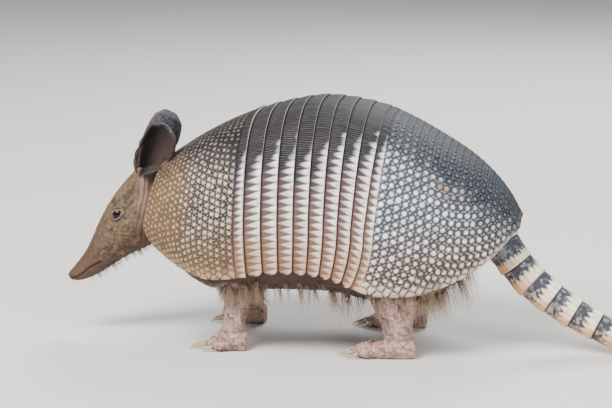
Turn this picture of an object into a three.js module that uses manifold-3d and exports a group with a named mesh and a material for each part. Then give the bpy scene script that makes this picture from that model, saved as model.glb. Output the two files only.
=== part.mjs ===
// Nine-banded armadillo, standing, life size.
// Millimetres, +Z up, floor at Z = 0. The head points to -X and the animal's left side to -Y.
import * as THREE from 'three';
import { mergeVertices } from 'three/addons/utils/BufferGeometryUtils.js';
import Module from 'manifold-3d';

const wasm = await Module();
wasm.setup();

const degrees = THREE.MathUtils.degToRad;
const mix = THREE.MathUtils.lerp;
const vec = (x, y, z) => new THREE.Vector3(x, y, z);

// ---------------------------------------------------------------- driving dimensions
const GAP = 0.3; // clearance between neighbouring solids

// Shell
const PLATE = 3; // thickness of the shell
const BAND_COUNT = 8;
const BAND_LENGTH = 13; // along the back, at the ridge
const BAND_LIP = 1.1; // how far a band's rear edge stands over the next band's front edge
const ARCH_END = degrees(115); // where each side of the shell's arch stops
const ARCH_WAIST = 0.34; // height of the widest level, as a share of the arch's height
const ARCH_FULLNESS = 0.74; // 1 is an ellipse, and less is nearer to a box
const ARCH_STEPS = 18;

// Stations of the shell, front to rear. Each is an arch over the body: the X of its top, of its
// widest level and of its lower edges, the Z of those edges, and its half width.
const station = (topX, waistX, lowX, lowZ, halfWidth) => ({ topX, waistX, lowX, lowZ, halfWidth });
const SHOULDER_STATIONS = [
  station(-112, -122, -109, 77, 49),
  station(-98, -107, -98, 71, 59.5),
  station(-82, -90, -84, 64.5, 67.5),
  station(-66, -71.5, -69, 60.5, 72.5),
  station(-50, -54, -53, 61.5, 75.5),
];
const HIP_STATIONS = [
  station(84, 75, 61, 53, 77.5),
  station(104, 97, 83, 52, 74.5),
  station(123, 118, 105, 55.5, 67.5),
  station(140, 137, 127, 64, 57.5),
  station(154, 153, 147, 76, 45),
  station(165, 164.5, 160, 89, 33),
  station(172, 171.5, 168.5, 99, 23),
];
// Edge 0 ends the shoulder shield and edge 8 starts the hip shield. The movable bands between
// them lie closer together at their lower ends than on the ridge.
const bandEdge = (i) => station(
  -36.2 + 13.2 * i - 0.06 * i * i,
  -37.6 + 13.6 * i - 0.25 * i * i,
  -36.6 + 13.1 * i - 0.38 * i * i,
  68 - 0.4 * (i - 3) ** 2,
  77 + 0.125 * i,
);
// The ridge of the back, as X and Z.
const RIDGE = new THREE.SplineCurve([
  [-128, 134], [-111, 146], [-82, 165], [-48, 181.5], [-9, 193.2], [24, 196.5],
  [68, 187.6], [112, 165.4], [140, 146.5], [160, 125.5], [172, 104.5], [176, 94],
].map(([x, z]) => new THREE.Vector2(x, z)));

// Trunk: stations of the shell, and how far the middle of the belly hangs below each one's edges
const BELLY_STEPS = 8;
const BELLY_FULLNESS = 0.8;
const TRUNK_STATIONS = [
  [SHOULDER_STATIONS[1], 0], [SHOULDER_STATIONS[2], 10], [SHOULDER_STATIONS[3], 15],
  [SHOULDER_STATIONS[4], 18], [bandEdge(0), 20], [bandEdge(2), 22], [bandEdge(4), 22],
  [bandEdge(6), 18], [bandEdge(8), 14], [HIP_STATIONS[0], 12], [HIP_STATIONS[1], 12],
  [HIP_STATIONS[2], 10], [HIP_STATIONS[3], 6], [station(148, 146, 138, 74, 46), 0],
];

// Head: sections from nape to snout, as the X and Z of the brow line, the X and Z of the jaw line
// and the half width
const HEAD_SECTIONS = [
  [-121, 145.5, -110, 82, 26.5], [-130, 142.5, -118, 77, 27], [-139.5, 134.5, -126, 73.5, 26.5],
  [-148.5, 124.5, -133, 70.5, 25], [-155.5, 115.5, -138.5, 68, 23], [-162, 105.5, -144, 65, 20.5],
  [-168, 94.5, -150, 61.5, 17.5], [-173, 83.5, -155.5, 57.8, 14.6], [-177.5, 73, -161.5, 53.6, 12.2],
  [-183, 64, -167.5, 49.6, 10.4], [-189, 56.2, -174, 46, 9.2], [-194.5, 50, -180.5, 43.5, 8.2],
  [-197, 45.5, -187, 42.5, 6.5],
];
const HEAD_STEPS = 20;
const CHEEK_SQUARE = 0.06; // how far a section leaves the ellipse towards a box
const JAW_FULL = 0.05; // how much wider a section is in its lower half
const NAPE = vec(-113, 0, 110);
const HEAD_TURN = degrees(8); // towards the animal's left
const HEAD_TILT = degrees(4);
const NECK_LENGTH = 24;
const NECK_SPREAD = 16; // how much wider the neck is at its rear
const NECK_REAR = { topZ: 137, lowZ: 84 };
const EYE_RADIUS = 4.5;
const EYE_CENTRE = vec(-151.5, -18.6, 103);

// Ears
const EAR_ROOT = vec(-129.5, -16, 136);
const EAR_TIP = vec(-112.5, -31, 177);
const EAR_MOUTH = vec(-0.5, -0.85, 0.1); // the way the open side looks
const EAR_HALF_WIDTHS = [9.2, 13, 14.7, 15.4, 16.2, 15.4, 13.6, 5.9]; // root to tip
const EAR_DEPTH = 0.85; // depth of the bowl, as a share of its half width
const EAR_WALL = 1.5;
const EAR_WRAP = { root: degrees(165), blade: degrees(82) }; // the wall's half angle
const EAR_STEPS = 8;

// Tail
const TAIL_LINE = new THREE.CatmullRomCurve3([
  vec(140, 0, 100), vec(152, -0.5, 88), vec(163, -3, 74.5), vec(171, -4, 64.5), vec(183, -6, 52.5),
  vec(198, -9, 41.5), vec(215, -12, 31), vec(232, -15, 22.4), vec(249, -18, 15.5),
  vec(270, -21, 10.5), vec(300, -25, 7.6), vec(345, -26, 5.6), vec(390, -20, 4), vec(432, -8, 2.2),
]);
TAIL_LINE.arcLengthDivisions = 400;
const TAIL_LENGTH = TAIL_LINE.getLength();
const TAIL_BASE = 13; // length of the root ahead of the first ring
const TAIL_RINGS = [12.5, 19, 19.5, 20.5, 20.5, 20, 19, 18, 16.5, 15, 13]; // ring lengths
const TAIL_RADIUS = { root: 13.5, tip: 1.6, taperStart: 60 };
const TAIL_SWELL = { height: 8, length: 40 }; // how the root widens into the rump
const TAIL_FLARE = 0.5; // how far a ring's rear edge stands out
const TAIL_SEGMENTS = 12;
const TIP_STATIONS = 8;

// Legs: each is a chain of rings, as the centre, the half length and the half width
const FORE_LEG = [
  [-50, 34, 92, 19, 14], [-48.5, 39, 72, 17.5, 15], [-48, 42, 57, 14.5, 13], [-49, 43.5, 38, 10, 10],
  [-50, 44, 26, 9, 9], [-52, 44, 15, 9.5, 9.5],
];
const HIND_LEG = [
  [84, 34, 88, 30, 17], [80, 41, 68, 28, 18], [77, 45.5, 52, 24.5, 16.5], [77, 48, 38, 17, 13.5],
  [79, 48.5, 25, 12.5, 10.5], [80, 48.5, 15, 12, 10.5],
];
const LEG_STEPS = 12;
const THIGH_RINGS = 3; // the upper rings, which slope down to the front
const THIGH_SLOPE = 0.15;

// Feet: each toe is the X and Y of its knuckle, the X and Y of its tip, and its claw's length
const FOREFOOT = {
  ankle: vec(-52, 44, 15),
  front: -64,
  rear: -40,
  halfWidth: 12.5,
  toes: [[-57, 35.5, -66, 32.5, 8], [-60, 41, -73, 39.5, 13], [-60, 47, -73, 47.5, 13],
    [-57, 52.5, -66, 55.5, 8]],
};
const HINDFOOT = {
  ankle: vec(80, 48.5, 15),
  front: 56,
  rear: 94,
  halfWidth: 13,
  toes: [[60, 39.5, 50, 37, 8], [59, 44, 45, 42.5, 9.5], [58.5, 48.5, 43, 48.5, 10.5],
    [59, 53, 45, 54.5, 9.5], [60, 57.5, 50, 60, 8]],
};
// Stations of a foot's pad from heel to toes: the share of its length, width and height.
const PAD_STATIONS = [
  [0, 0.65, 0.72], [0.12, 0.8, 0.96], [0.35, 0.96, 1], [0.6, 1, 1], [0.82, 0.92, 1], [1, 0.77, 1],
];
const PAD_STEPS = 10;
const PAD_HEIGHT = { ankle: 19, toes: 7.5, slopeStart: 6, slopeEnd: 22 }; // the slope is ahead of the ankle
const TOE = { knuckleZ: 6, tipZ: 4, knuckleRadius: 5.2, tipRadius: 4.2, roundStart: 0.72 };
const TOE_STEPS = 6;
const TOE_LEVELS = 3;
const CLAW = { radius: 2.3, taper: 0.8, narrow: 0.85, tipZ: 0.6, bend: 1.6, steps: 6 };
const CLAW_STATIONS = [0, 0.35, 0.7, 1];

const COLOR = {
  shell: 0xb9aea2, band: 0xc4b7aa, skin: 0xa98778, head: 0x8d7564, ear: 0x5c4c48,
  tail: 0x9a9088, claw: 0xc8b48c, eye: 0x14100e,
};

// ---------------------------------------------------------------- solids
function geometryOf(points, faces) {
  const geometry = new THREE.BufferGeometry();
  const numbers = points.flatMap((p) => [p.x, p.y, p.z]);
  geometry.setAttribute('position', new THREE.Float32BufferAttribute(numbers, 3));
  geometry.setIndex(faces.flat());
  return outward(geometry);
}

// Turns the faces out when the rings were given the other way round.
function outward(geometry) {
  const position = geometry.attributes.position;
  const index = geometry.index.array;
  const corner = (k) => new THREE.Vector3().fromBufferAttribute(position, index[k]);
  let volume = 0;
  for (let k = 0; k < index.length; k += 3) volume += corner(k).dot(corner(k + 1).cross(corner(k + 2)));
  if (volume < 0) {
    for (let k = 0; k < index.length; k += 3) [index[k], index[k + 1]] = [index[k + 1], index[k]];
  }
  return geometry;
}

// The walls between rings of equal length.
function wallFaces(rings) {
  const count = rings[0].length;
  const faces = [];
  for (let r = 0; r + 1 < rings.length; r += 1) {
    for (let k = 0; k < count; k += 1) {
      const [a, b] = [r * count + k, r * count + ((k + 1) % count)];
      faces.push([a, b, b + count], [a, b + count, a + count]);
    }
  }
  return faces;
}

// A closed solid through round rings, with a fan over both ends.
function loft(rings) {
  const count = rings[0].length;
  const points = rings.flat();
  const faces = wallFaces(rings);
  for (const [row, flip] of [[0, true], [rings.length - 1, false]]) {
    const centre = points.length;
    points.push(rings[row].reduce((sum, p) => sum.add(p), vec(0, 0, 0)).divideScalar(count));
    for (let k = 0; k < count; k += 1) {
      const [a, b] = [row * count + k, row * count + ((k + 1) % count)];
      faces.push(flip ? [b, a, centre] : [a, b, centre]);
    }
  }
  return geometryOf(points, faces);
}

// A closed solid through strip-shaped rings, which run along the outside and back along the inside.
function plateLoft(rings) {
  const count = rings[0].length;
  const faces = wallFaces(rings);
  for (const [start, flip] of [[0, true], [(rings.length - 1) * count, false]]) {
    for (let k = 0; k < count / 2 - 1; k += 1) {
      const [a, b, c, d] = [start + k, start + k + 1, start + count - 2 - k, start + count - 1 - k];
      faces.push(flip ? [b, a, c] : [a, b, c], flip ? [c, a, d] : [a, c, d]);
    }
  }
  return geometryOf(rings.flat(), faces);
}

function solidOf(geometry) {
  const bare = geometry.clone();
  bare.deleteAttribute('normal');
  bare.deleteAttribute('uv');
  const merged = mergeVertices(bare, 1e-4);
  return new wasm.Manifold(new wasm.Mesh({
    numProp: 3,
    vertProperties: new Float32Array(merged.attributes.position.array),
    triVerts: new Uint32Array(merged.index.array),
  }));
}

function geometryOfSolid(solid) {
  const mesh = solid.getMesh();
  const geometry = new THREE.BufferGeometry();
  geometry.setAttribute('position', new THREE.BufferAttribute(new Float32Array(mesh.vertProperties), 3));
  geometry.setIndex([...mesh.triVerts]);
  return geometry;
}

const cut = (geometry, ...tools) =>
  geometryOfSolid(tools.reduce((solid, tool) => solid.subtract(solidOf(tool)), solidOf(geometry)));
const join = (...parts) => geometryOfSolid(parts.map(solidOf).reduce((whole, part) => whole.add(part)));

// ---------------------------------------------------------------- shell
const RIDGE_POINTS = RIDGE.getPoints(240);

function ridgeHeight(x) {
  const after = RIDGE_POINTS.findIndex((p) => p.x >= x);
  const [a, b] = [RIDGE_POINTS[after - 1], RIDGE_POINTS[after]];
  return mix(a.y, b.y, (x - a.x) / (b.x - a.x));
}

// A point of a station's arch: angle 0 is the ridge, and inset moves it in from the outside.
function archPoint(at, angle, inset) {
  const ridgeZ = ridgeHeight(at.topX);
  const waistZ = mix(at.lowZ, ridgeZ, ARCH_WAIST);
  const lift = Math.cos(angle);
  const sweep = Math.abs(Math.sin(angle));
  const side = Math.sign(angle) * (at.halfWidth - inset);
  if (lift >= 0) {
    const rise = lift ** ARCH_FULLNESS;
    const x = mix(at.waistX, at.topX, rise);
    return vec(x, side * sweep ** ARCH_FULLNESS, mix(waistZ, ridgeZ - inset, rise));
  }
  const fall = lift / Math.cos(ARCH_END);
  return vec(mix(at.waistX, at.lowX, fall ** 2), side * sweep, mix(waistZ, at.lowZ, fall));
}

function archAngles() {
  return Array.from({ length: ARCH_STEPS + 1 }, (_, k) => mix(-ARCH_END, ARCH_END, k / ARCH_STEPS));
}

function archRing(at, outset, inset) {
  const outside = archAngles().map((angle) => archPoint(at, angle, -outset));
  const inside = archAngles().map((angle) => archPoint(at, angle, inset));
  return [...outside, ...inside.reverse()];
}

const between = (a, b, t) => station(...Object.keys(a).map((key) => mix(a[key], b[key], t)));
const BAND_MARGIN = GAP / 2 / BAND_LENGTH; // half a gap, as a share of a band

function shoulderShield(grow = 0) {
  const [front, second] = SHOULDER_STATIONS;
  const first = between(front, second, -grow / (second.topX - front.topX));
  const last = between(bandEdge(0), bandEdge(1), -BAND_MARGIN);
  const lip = (at) => (at === last ? BAND_LIP : 0);
  return plateLoft([first, ...SHOULDER_STATIONS.slice(1), last].map((at) =>
    archRing(at, grow + lip(at), PLATE + grow)));
}

function band(i) {
  const [front, rear] = [bandEdge(i), bandEdge(i + 1)];
  return plateLoft([
    archRing(between(front, rear, BAND_MARGIN), 0, PLATE),
    archRing(between(front, rear, 1 - BAND_MARGIN), BAND_LIP, PLATE),
  ]);
}

function hipShield() {
  const first = between(bandEdge(BAND_COUNT), bandEdge(BAND_COUNT + 1), BAND_MARGIN);
  return plateLoft([first, ...HIP_STATIONS].map((at) => archRing(at, 0, PLATE)));
}

// ---------------------------------------------------------------- trunk
function trunkRing([at, sag], clearance) {
  const arch = archAngles().map((angle) => archPoint(at, angle, PLATE + 2 * GAP - clearance));
  const [first, last] = [arch[0], arch[ARCH_STEPS]];
  const belly = Array.from({ length: BELLY_STEPS - 1 }, (_, k) => {
    const turn = (Math.PI * (k + 1)) / BELLY_STEPS;
    const side = mix(last.y, first.y, (1 - Math.cos(turn)) / 2);
    return vec(last.x, side, last.z - (sag + clearance) * Math.sin(turn) ** BELLY_FULLNESS);
  });
  return [...arch, ...belly].reverse(); // the same way round as the inside of the shell
}

function trunk(clearance = 0) {
  const rings = TRUNK_STATIONS.map((row) => trunkRing(row, clearance));
  rings[0].forEach((point) => point.setX(point.x - clearance));
  rings[rings.length - 1].forEach((point) => point.setX(point.x + clearance));
  return loft(rings);
}

// ---------------------------------------------------------------- head and neck
// Every piece of the head turns about the nape; share is how far it follows the turn.
function turnHead(point, share = 1) {
  point.sub(NAPE);
  point.applyAxisAngle(vec(1, 0, 0), HEAD_TILT * share);
  point.applyAxisAngle(vec(0, 0, 1), HEAD_TURN * share);
  return point.add(NAPE);
}

// An egg-shaped section between a top and a bottom point in the middle plane.
function oval([topX, topZ, lowX, lowZ, halfWidth], grow) {
  const [top, low] = [vec(topX, 0, topZ), vec(lowX, 0, lowZ)];
  const centre = top.clone().add(low).multiplyScalar(0.5);
  const up = top.clone().sub(centre);
  up.setLength(up.length() + grow);
  return Array.from({ length: HEAD_STEPS }, (_, k) => {
    const turn = (2 * Math.PI * k) / HEAD_STEPS;
    const fullness = 1 - CHEEK_SQUARE * Math.cos(2 * turn) - JAW_FULL * Math.cos(turn);
    const side = vec(0, (halfWidth + grow) * fullness * Math.sin(turn), 0);
    return centre.clone().addScaledVector(up, Math.cos(turn)).add(side);
  });
}

const wholeHead = (grow = 0) =>
  loft(HEAD_SECTIONS.map((row) => oval(row, grow).map((point) => turnHead(point))));

function eyeball(side, grow = 0) {
  const centre = turnHead(vec(EYE_CENTRE.x, -side * EYE_CENTRE.y, EYE_CENTRE.z));
  return new THREE.IcosahedronGeometry(EYE_RADIUS + grow, 1).translate(centre.x, centre.y, centre.z);
}

const head = () => cut(wholeHead(), eyeball(1, GAP), eyeball(-1, GAP));

function wholeNeck(grow = 0) {
  const [topX, topZ, lowX, lowZ, halfWidth] = HEAD_SECTIONS[0];
  return loft([0, 0.5, 1].map((t) => {
    const back = GAP + NECK_LENGTH * t;
    const spread = NECK_SPREAD * Math.sin((t * Math.PI) / 2);
    const top = [topX + back, mix(topZ, NECK_REAR.topZ, t)];
    const low = [lowX + back, mix(lowZ, NECK_REAR.lowZ, t)];
    return oval([...top, ...low, halfWidth + spread], grow).map((point) => turnHead(point, 1 - t));
  }));
}

const neck = () => cut(wholeNeck(), trunk(GAP), shoulderShield(GAP));

// ---------------------------------------------------------------- ears
// An upright scoop: nearly a tube at the root, and open to the side above it.
function ear(side) {
  const up = EAR_TIP.clone().sub(EAR_ROOT);
  const across = new THREE.Vector3().crossVectors(up, EAR_MOUTH).normalize();
  const out = new THREE.Vector3().crossVectors(across, up).normalize();
  const levels = EAR_HALF_WIDTHS.length - 1;
  const turns = Array.from({ length: EAR_STEPS + 1 }, (_, k) => mix(-1, 1, k / EAR_STEPS));
  const at = (level, turn, inset) => {
    const height = level / levels;
    const radius = EAR_HALF_WIDTHS[level] - inset;
    const wrap = turn * mix(EAR_WRAP.root, EAR_WRAP.blade, THREE.MathUtils.smoothstep(height, 0.08, 0.5));
    const point = EAR_ROOT.clone().addScaledVector(up, height);
    point.addScaledVector(across, radius * Math.sin(wrap));
    point.addScaledVector(out, -radius * EAR_DEPTH * Math.cos(wrap));
    if (level === levels) point.z -= inset;
    return turnHead(vec(point.x, point.y * -side, point.z));
  };
  const rings = EAR_HALF_WIDTHS.map((_, level) => [
    ...turns.map((turn) => at(level, turn, 0)),
    ...turns.toReversed().map((turn) => at(level, turn, EAR_WALL)),
  ]);
  return cut(plateLoft(rings), wholeHead(GAP), wholeNeck(GAP), shoulderShield(GAP));
}

// ---------------------------------------------------------------- tail
function tailRadius(s) {
  const swell = TAIL_SWELL.height * Math.max(0, 1 - s / TAIL_SWELL.length) ** 1.5;
  const along = (s - TAIL_RADIUS.taperStart) / (TAIL_LENGTH - TAIL_RADIUS.taperStart);
  const taper = THREE.MathUtils.clamp(along, 0, 1);
  return TAIL_RADIUS.root * (1 - taper) ** 0.9 + TAIL_RADIUS.tip * taper + swell;
}

// A ring around the tail, no lower than the floor.
function tailRing(s, flare = 0) {
  const centre = TAIL_LINE.getPointAt(s / TAIL_LENGTH);
  const along = TAIL_LINE.getTangentAt(s / TAIL_LENGTH);
  const across = new THREE.Vector3().crossVectors(vec(0, 0, 1), along).normalize();
  const up = new THREE.Vector3().crossVectors(along, across);
  const radius = tailRadius(s) + flare;
  return Array.from({ length: TAIL_SEGMENTS }, (_, k) => {
    const turn = (2 * Math.PI * (k + 0.5)) / TAIL_SEGMENTS;
    const point = centre.clone();
    point.addScaledVector(across, radius * Math.cos(turn));
    point.addScaledVector(up, radius * Math.sin(turn));
    return point.setZ(Math.max(point.z, 0));
  });
}

function tailPieces() {
  const edges = [TAIL_BASE];
  for (const length of TAIL_RINGS) edges.push(edges[edges.length - 1] + length);
  const root = loft([0, TAIL_BASE / 2, TAIL_BASE - GAP / 2].map((s) => tailRing(s)));
  const rings = TAIL_RINGS.map((_, i) =>
    loft([tailRing(edges[i] + GAP / 2, -TAIL_FLARE), tailRing(edges[i + 1] - GAP / 2, TAIL_FLARE)]));
  const tipStart = edges[edges.length - 1] + GAP / 2;
  const tip = Array.from({ length: TIP_STATIONS }, (_, k) =>
    tailRing(mix(tipStart, TAIL_LENGTH, k / (TIP_STATIONS - 1))));
  rings[0] = cut(rings[0], trunk(GAP));
  return [
    ['tail_root', cut(root, trunk(GAP))],
    ...rings.map((ring, i) => [`tail_ring_${i + 1}`, ring]),
    ['tail_tip', loft(tip)],
  ];
}

// ---------------------------------------------------------------- legs, feet and claws
function legRing([x, y, z, halfLength, halfWidth], slope, side) {
  return Array.from({ length: LEG_STEPS }, (_, k) => {
    const turn = (2 * Math.PI * k) / LEG_STEPS;
    const along = halfLength * Math.cos(turn);
    return vec(x + along, side * (y + halfWidth * Math.sin(turn)), z - along * slope);
  });
}

function leg(rows, side) {
  const rings = rows.map((row, i) => legRing(row, i < THIGH_RINGS ? THIGH_SLOPE : 0, side));
  return cut(loft(rings), trunk(GAP));
}

// A toe from its knuckle to its rounded tip, flat where it meets the floor.
function toe([x, y, tipX, tipY], side) {
  const from = vec(x, y, TOE.knuckleZ);
  const axis = vec(tipX, tipY, TOE.tipZ).sub(from);
  const across = new THREE.Vector3().crossVectors(vec(0, 0, 1), axis).normalize();
  const up = new THREE.Vector3().crossVectors(axis, across).normalize();
  return loft(Array.from({ length: TOE_LEVELS + 1 }, (_, level) => {
    const t = level / TOE_LEVELS;
    const rounding = Math.max(0, (t - TOE.roundStart) / (1 - TOE.roundStart));
    const radius = mix(TOE.knuckleRadius, TOE.tipRadius, t) * Math.sqrt(Math.max(0.12, 1 - rounding ** 2));
    return Array.from({ length: TOE_STEPS }, (__, k) => {
      const turn = (2 * Math.PI * (k + 0.5)) / TOE_STEPS;
      const point = from.clone().addScaledVector(axis, t);
      point.addScaledVector(across, radius * Math.cos(turn));
      point.addScaledVector(up, radius * Math.sin(turn));
      return vec(point.x, point.y * side, Math.max(point.z, 0));
    });
  }));
}

// The pad of a foot: its flat top meets the leg, and slopes down to the toes ahead of it.
function pad({ ankle, front, rear, halfWidth }, side) {
  return loft(PAD_STATIONS.map(([along, widthShare, heightShare]) => {
    const x = mix(rear, front, along);
    const slope = THREE.MathUtils.smoothstep(ankle.x - x, PAD_HEIGHT.slopeStart, PAD_HEIGHT.slopeEnd);
    const height = mix(PAD_HEIGHT.ankle, PAD_HEIGHT.toes, slope) * heightShare;
    return Array.from({ length: PAD_STEPS }, (_, k) => {
      const turn = (2 * Math.PI * (k + 0.5)) / PAD_STEPS;
      const y = ankle.y + halfWidth * widthShare * Math.cos(turn);
      const z = height * (0.5 + 0.62 * Math.sin(turn));
      return vec(x, side * y, THREE.MathUtils.clamp(z, 0, ankle.z - GAP));
    });
  }));
}

const foot = (shape, side) => join(pad(shape, side), ...shape.toes.map((row) => toe(row, side)));

// A claw ahead of its toe, bent down to the floor.
function claw([x, y, tipX, tipY, length], side) {
  const along = vec(tipX - x, tipY - y, 0).normalize();
  const across = vec(-along.y, along.x, 0);
  const base = vec(tipX, tipY, TOE.tipZ).addScaledVector(along, GAP);
  return loft(CLAW_STATIONS.map((t) => {
    const radius = CLAW.radius * (1 - CLAW.taper * t);
    const centre = base.clone().addScaledVector(along, length * t);
    centre.z = mix(TOE.tipZ, CLAW.tipZ, t ** CLAW.bend);
    return Array.from({ length: CLAW.steps }, (_, k) => {
      const turn = (2 * Math.PI * k) / CLAW.steps;
      const point = centre.clone().addScaledVector(across, radius * CLAW.narrow * Math.cos(turn));
      return vec(point.x, point.y * side, Math.max(0, point.z + radius * Math.sin(turn)));
    });
  }));
}

// ---------------------------------------------------------------- assembly
const armadillo = new THREE.Group();

function addMesh(name, geometry, color, roughness) {
  const mesh = new THREE.Mesh(geometry, new THREE.MeshStandardMaterial({ color, roughness, metalness: 0 }));
  mesh.name = name;
  armadillo.add(mesh);
}

addMesh('head', head(), COLOR.head, 0.6);
addMesh('neck', neck(), COLOR.skin, 0.6);
addMesh('trunk', trunk(), COLOR.skin, 0.6);
addMesh('shoulder_shield', shoulderShield(), COLOR.shell, 0.5);
for (let i = 0; i < BAND_COUNT; i += 1) addMesh(`band_${i + 1}`, band(i), COLOR.band, 0.5);
addMesh('hip_shield', hipShield(), COLOR.shell, 0.5);
for (const [name, geometry] of tailPieces()) addMesh(name, geometry, COLOR.tail, 0.5);

for (const [hand, side] of [['left', -1], ['right', 1]]) {
  addMesh(`eye_${hand}`, eyeball(side), COLOR.eye, 0.1);
  addMesh(`ear_${hand}`, ear(side), COLOR.ear, 0.6);
  for (const [limb, rows, shape] of [['fore', FORE_LEG, FOREFOOT], ['hind', HIND_LEG, HINDFOOT]]) {
    addMesh(`${limb}leg_${hand}`, leg(rows, side), COLOR.skin, 0.6);
    addMesh(`${limb}foot_${hand}`, foot(shape, side), COLOR.skin, 0.6);
    shape.toes.forEach((row, k) =>
      addMesh(`${limb}claw_${hand}_${k + 1}`, claw(row, side), COLOR.claw, 0.35));
  }
}

// The origin is on the floor, at the middle of the animal's length and width.
const middle = new THREE.Box3().setFromObject(armadillo).getCenter(vec(0, 0, 0));
armadillo.position.set(-middle.x, -middle.y, 0);

export default armadillo;
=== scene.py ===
"""A nine-banded armadillo, standing on a pale floor.

Lengths are in millimetres while a shape is worked out, and in metres once it is a mesh. The head
points to -X, the animal's left side to -Y, and the floor is at Z = 0.
"""

import collections
import itertools
import math

import bmesh
import bpy
import numpy as np
from mathutils import Matrix, Vector, kdtree


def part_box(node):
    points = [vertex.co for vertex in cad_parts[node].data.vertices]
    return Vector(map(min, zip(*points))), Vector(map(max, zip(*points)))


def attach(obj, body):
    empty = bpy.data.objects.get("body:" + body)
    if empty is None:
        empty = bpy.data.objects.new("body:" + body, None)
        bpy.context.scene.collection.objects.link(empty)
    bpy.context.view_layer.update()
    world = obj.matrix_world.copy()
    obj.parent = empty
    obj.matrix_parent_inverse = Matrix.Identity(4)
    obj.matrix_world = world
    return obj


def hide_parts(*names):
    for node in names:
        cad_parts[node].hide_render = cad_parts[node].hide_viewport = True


bl_info = {
    "name": "Nine-banded armadillo",
    "version": (1, 0, 0),
    "blender": (4, 5, 0),
    "location": "View3D > Sidebar > Armadillo",
    "description": "Skin, shell, tail, claws and hair of a standing armadillo",
    "category": "Object",
}

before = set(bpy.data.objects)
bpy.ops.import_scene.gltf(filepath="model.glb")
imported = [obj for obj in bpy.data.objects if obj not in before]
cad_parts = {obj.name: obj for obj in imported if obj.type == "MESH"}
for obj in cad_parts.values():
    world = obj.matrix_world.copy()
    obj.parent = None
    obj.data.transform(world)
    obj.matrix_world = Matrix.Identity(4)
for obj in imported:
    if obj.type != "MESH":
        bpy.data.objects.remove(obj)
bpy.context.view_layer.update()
MM = 0.001
HANDS = (("left", -1), ("right", 1))

# ------------------------------------------------------------------ driving dimensions
# The body's own X starts between the fore and hind legs: the hip shield ends 172 mm behind it.
HIP_END = 172.0
BODY_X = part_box("hip_shield")[1].x / MM - HIP_END

# Shell. A station is an arch over the body: the X of its top, of its widest level and of its lower
# edges, the Z of those edges, and its half width.
SHOULDER_STATIONS = (
    (-112, -122, -109, 77, 49),
    (-98, -107, -98, 71, 59.5),
    (-82, -90, -84, 64.5, 67.5),
    (-66, -71.5, -69, 60.5, 72.5),
    (-50, -54, -53, 61.5, 75.5),
)
HIP_STATIONS = (
    (84, 75, 61, 53, 77.5),
    (104, 97, 83, 52, 74.5),
    (123, 118, 105, 55.5, 67.5),
    (140, 137, 127, 64, 57.5),
    (154, 153, 147, 76, 45),
    (165, 164.5, 160, 89, 33),
    (172, 171.5, 168.5, 99, 23),
)
# The top line of the back, as X and Z.
RIDGE = (
    (-128, 134), (-111, 146), (-82, 165), (-48, 181.5), (-9, 193.2), (24, 196.5),
    (68, 187.6), (112, 165.4), (140, 146.5), (160, 125.5), (172, 104.5), (176, 94),
)
ARCH_END = math.radians(115)  # from the ridge to a lower edge
ARCH_WAIST = 0.34  # the widest level, as a share of the height from the lower edge to the ridge
ARCH_FULLNESS = 0.74  # 1 is an ellipse, and less is squarer
BAND_COUNT = 8
# Band edges, for the top, the widest level and the lower edges: the X of edge 0, what each edge adds to
# it, and what its number squared adds.
BAND_PLACES = ((-36.2, 13.2, -0.06), (-37.6, 13.6, -0.25), (-36.6, 13.1, -0.38))
BAND_LOW_Z = 68.0  # of the lower ends at edge 3, the highest
BAND_LOW_DROP = 0.4  # how much lower they are one edge on, and more by the square
BAND_WIDTH = 77.0  # half width of edge 0
BAND_WIDENING = 0.125  # what each edge adds to it
BAND_MARGIN = 0.012  # share of a band left free at each of its long edges
PLATE = 2.6  # thickness of the shell
EDGE_THICKNESS = 0.9  # of the shell's rear lips
LIP = 0.75  # how far a rear lip stands over the plate behind it
TUCK = 0.5  # how far a front edge lies below the plate ahead of it
TIP_ROUND = 4.5  # radius of a band's lower ends
TIP_TAPER = 0.9  # share of the length that a rounded end loses
EDGE_ROUND = 1.6  # radius of a plate's lower edges
MERGE_DISTANCE = 0.01  # points of a mesh nearer than this are one

# The dark back ends at this height on the flank, as X and Z.
DARK_EDGE = (
    (-120, 136), (-94, 148), (-60, 152), (-37, 150), (-13, 153), (28, 158),
    (57, 164), (72, 162), (88, 156), (112, 138), (142, 115), (168, 96),
)


def srgb(red, green, blue):
    """A screen colour, 0 to 255 a channel, as the linear values that shaders use."""
    shares = np.array([red, green, blue]) / 255
    return np.where(shares <= 0.04045, shares / 12.92, ((shares + 0.055) / 1.055) ** 2.4)


# ------------------------------------------------------------------ number helpers
def smooth_step(low, high, value):
    """From 0 at low to 1 at high, with soft ends. low may be the greater of the two."""
    share = np.clip((value - low) / (high - low), 0, 1)
    return share * share * (3 - 2 * share)


def blend(a, b, share):
    """From a to b by share, for numbers or for colours against an array of shares."""
    share = np.asarray(share)
    if np.ndim(a) and np.shape(a)[-1] == 3 and np.shape(share)[-1:] != (3,):
        share = share[..., None]
    return a + (b - a) * share


def smooth_through(knots, places):
    """Values of a smooth curve through the knots, at places counted in knots."""
    knots = np.asarray(knots, float)
    places = np.asarray(places, float)
    first = np.clip(np.floor(places).astype(int), 0, len(knots) - 2)
    part = (places - first)[..., None]
    ends = np.vstack([2 * knots[0] - knots[1], knots, 2 * knots[-1] - knots[-2]])
    a, b, c, d = (ends[first + k] for k in range(4))
    return b + 0.5 * part * ((c - a) + part * ((2 * a - 5 * b + 4 * c - d) + part * (3 * (b - c) + d - a)))


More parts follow.
